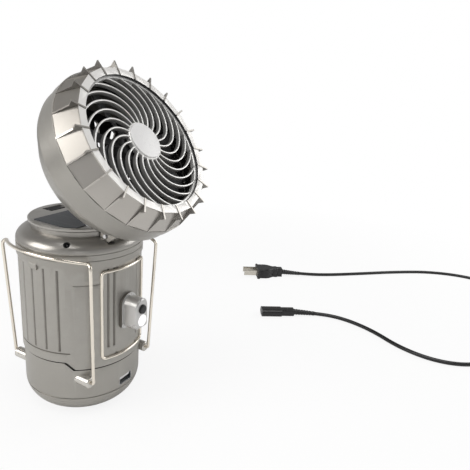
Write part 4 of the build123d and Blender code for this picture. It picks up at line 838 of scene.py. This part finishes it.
# ------------------------------------------------------------------ floor and light
FLOOR_HALF = 4.0
FLOOR_MIDDLE = (0.15, -0.12, 0.0)
FLOOR_ROUGHNESS = 0.8
FADE_START, FADE_END, FADE_LEAST = 0.28, 0.58, 0.86
CEILING_START, CEILING_END = 0.12, 0.50
ROOM_LOW, ROOM_HIGH, FILL = (0.55, 0.55, 0.55, 1), (0.21, 0.205, 0.20, 1), (0.30, 0.30, 0.31, 1)
LAMPS = {
    "top_box": {"place": (-0.15, -0.25, 1.05), "aim": (0.05, -0.05, 0.0), "size": (0.8, 0.8), "power": 5.6},
    "back_box": {"place": (-0.73, 0.465, 0.55), "aim": (0, -0.05, 0.20), "size": (0.66, 0.54), "power": 5.0,
                 "tint": (1.0, 0.985, 0.96)},
    "side_box": {"place": (-0.75, -0.62, 0.16), "aim": (0, 0, 0.09), "size": (0.16, 0.50), "power": 0.2},
    "front_box": {"place": (0.75, -0.50, 0.42), "aim": (0, -0.05, 0.18), "size": (0.55, 0.55), "power": 2.3},
}


def flat_floor():
    """A floor that takes faint shadows and else shows white by itself, wholly so away from its middle."""
    half = FLOOR_HALF
    mesh = bpy.data.meshes.new("floor")
    mesh.from_pydata([(-half, -half, 0), (half, -half, 0), (half, half, 0), (-half, half, 0)], [],
                     [(0, 1, 2, 3)])
    floor = in_scene("floor", mesh)
    material, tree, shader = new_material("pale_floor")
    feed(tree, shader, Base_Color=rgb("#f4f4f3"), Roughness=FLOOR_ROUGHNESS)
    bright = add(tree, "ShaderNodeEmission", Strength=1.0)
    seen = add(tree, "ShaderNodeLightPath").outputs["Is Camera Ray"]
    reach = vector_math(tree, "DISTANCE", object_place(tree), FLOOR_MIDDLE).outputs["Value"]
    fade = ranged(tree, reach, FADE_START, FADE_END, FADE_LEAST)
    blend = add(tree, "ShaderNodeMixShader")
    for socket, value in enumerate((times(tree, seen, fade), shader.outputs[0], bright.outputs[0])):
        connect(tree, blend.inputs[socket], value)
    feed(tree, tree.nodes["Material Output"], Surface=blend.outputs[0])
    mesh.materials.append(material)


def studio_world():
    """White backdrop under a dim ceiling that only reflections show."""
    world = bpy.data.worlds.new("studio")
    bpy.context.scene.world = world
    world.use_nodes = True
    tree = world.node_tree
    seen = add(tree, "ShaderNodeLightPath").outputs
    place = add(tree, "ShaderNodeTexCoord").outputs["Generated"]
    height = add(tree, "ShaderNodeSeparateXYZ", Vector=place).outputs["Z"]
    room = mix_colors(tree, ranged(tree, height, CEILING_START, CEILING_END), ROOM_LOW, ROOM_HIGH)
    lit = mix_colors(tree, seen["Is Glossy Ray"], FILL, room)
    direct = math_node(tree, "MAXIMUM", seen["Is Camera Ray"], seen["Is Transmission Ray"])
    feed(tree, tree.nodes["Background"], Color=mix_colors(tree, direct, lit, WHITE), Strength=1.0)


def area_lamp(name, place, aim, size, power, tint=(1, 1, 1)):
    """A rectangular lamp at a place, turned to what it is aimed at."""
    data = bpy.data.lights.new(name, "AREA")
    data.shape = "RECTANGLE"
    data.size, data.size_y = size
    data.energy = power
    data.color = tint
    lamp = in_scene(name, data)
    lamp.location = place
    lamp.rotation_euler = (Vector(aim) - Vector(place)).to_track_quat("-Z", "Y").to_euler()


flat_floor()
studio_world()
for name, settings in LAMPS.items():
    area_lamp(name, **settings)

bpy.context.scene.view_settings.view_transform = "Standard"
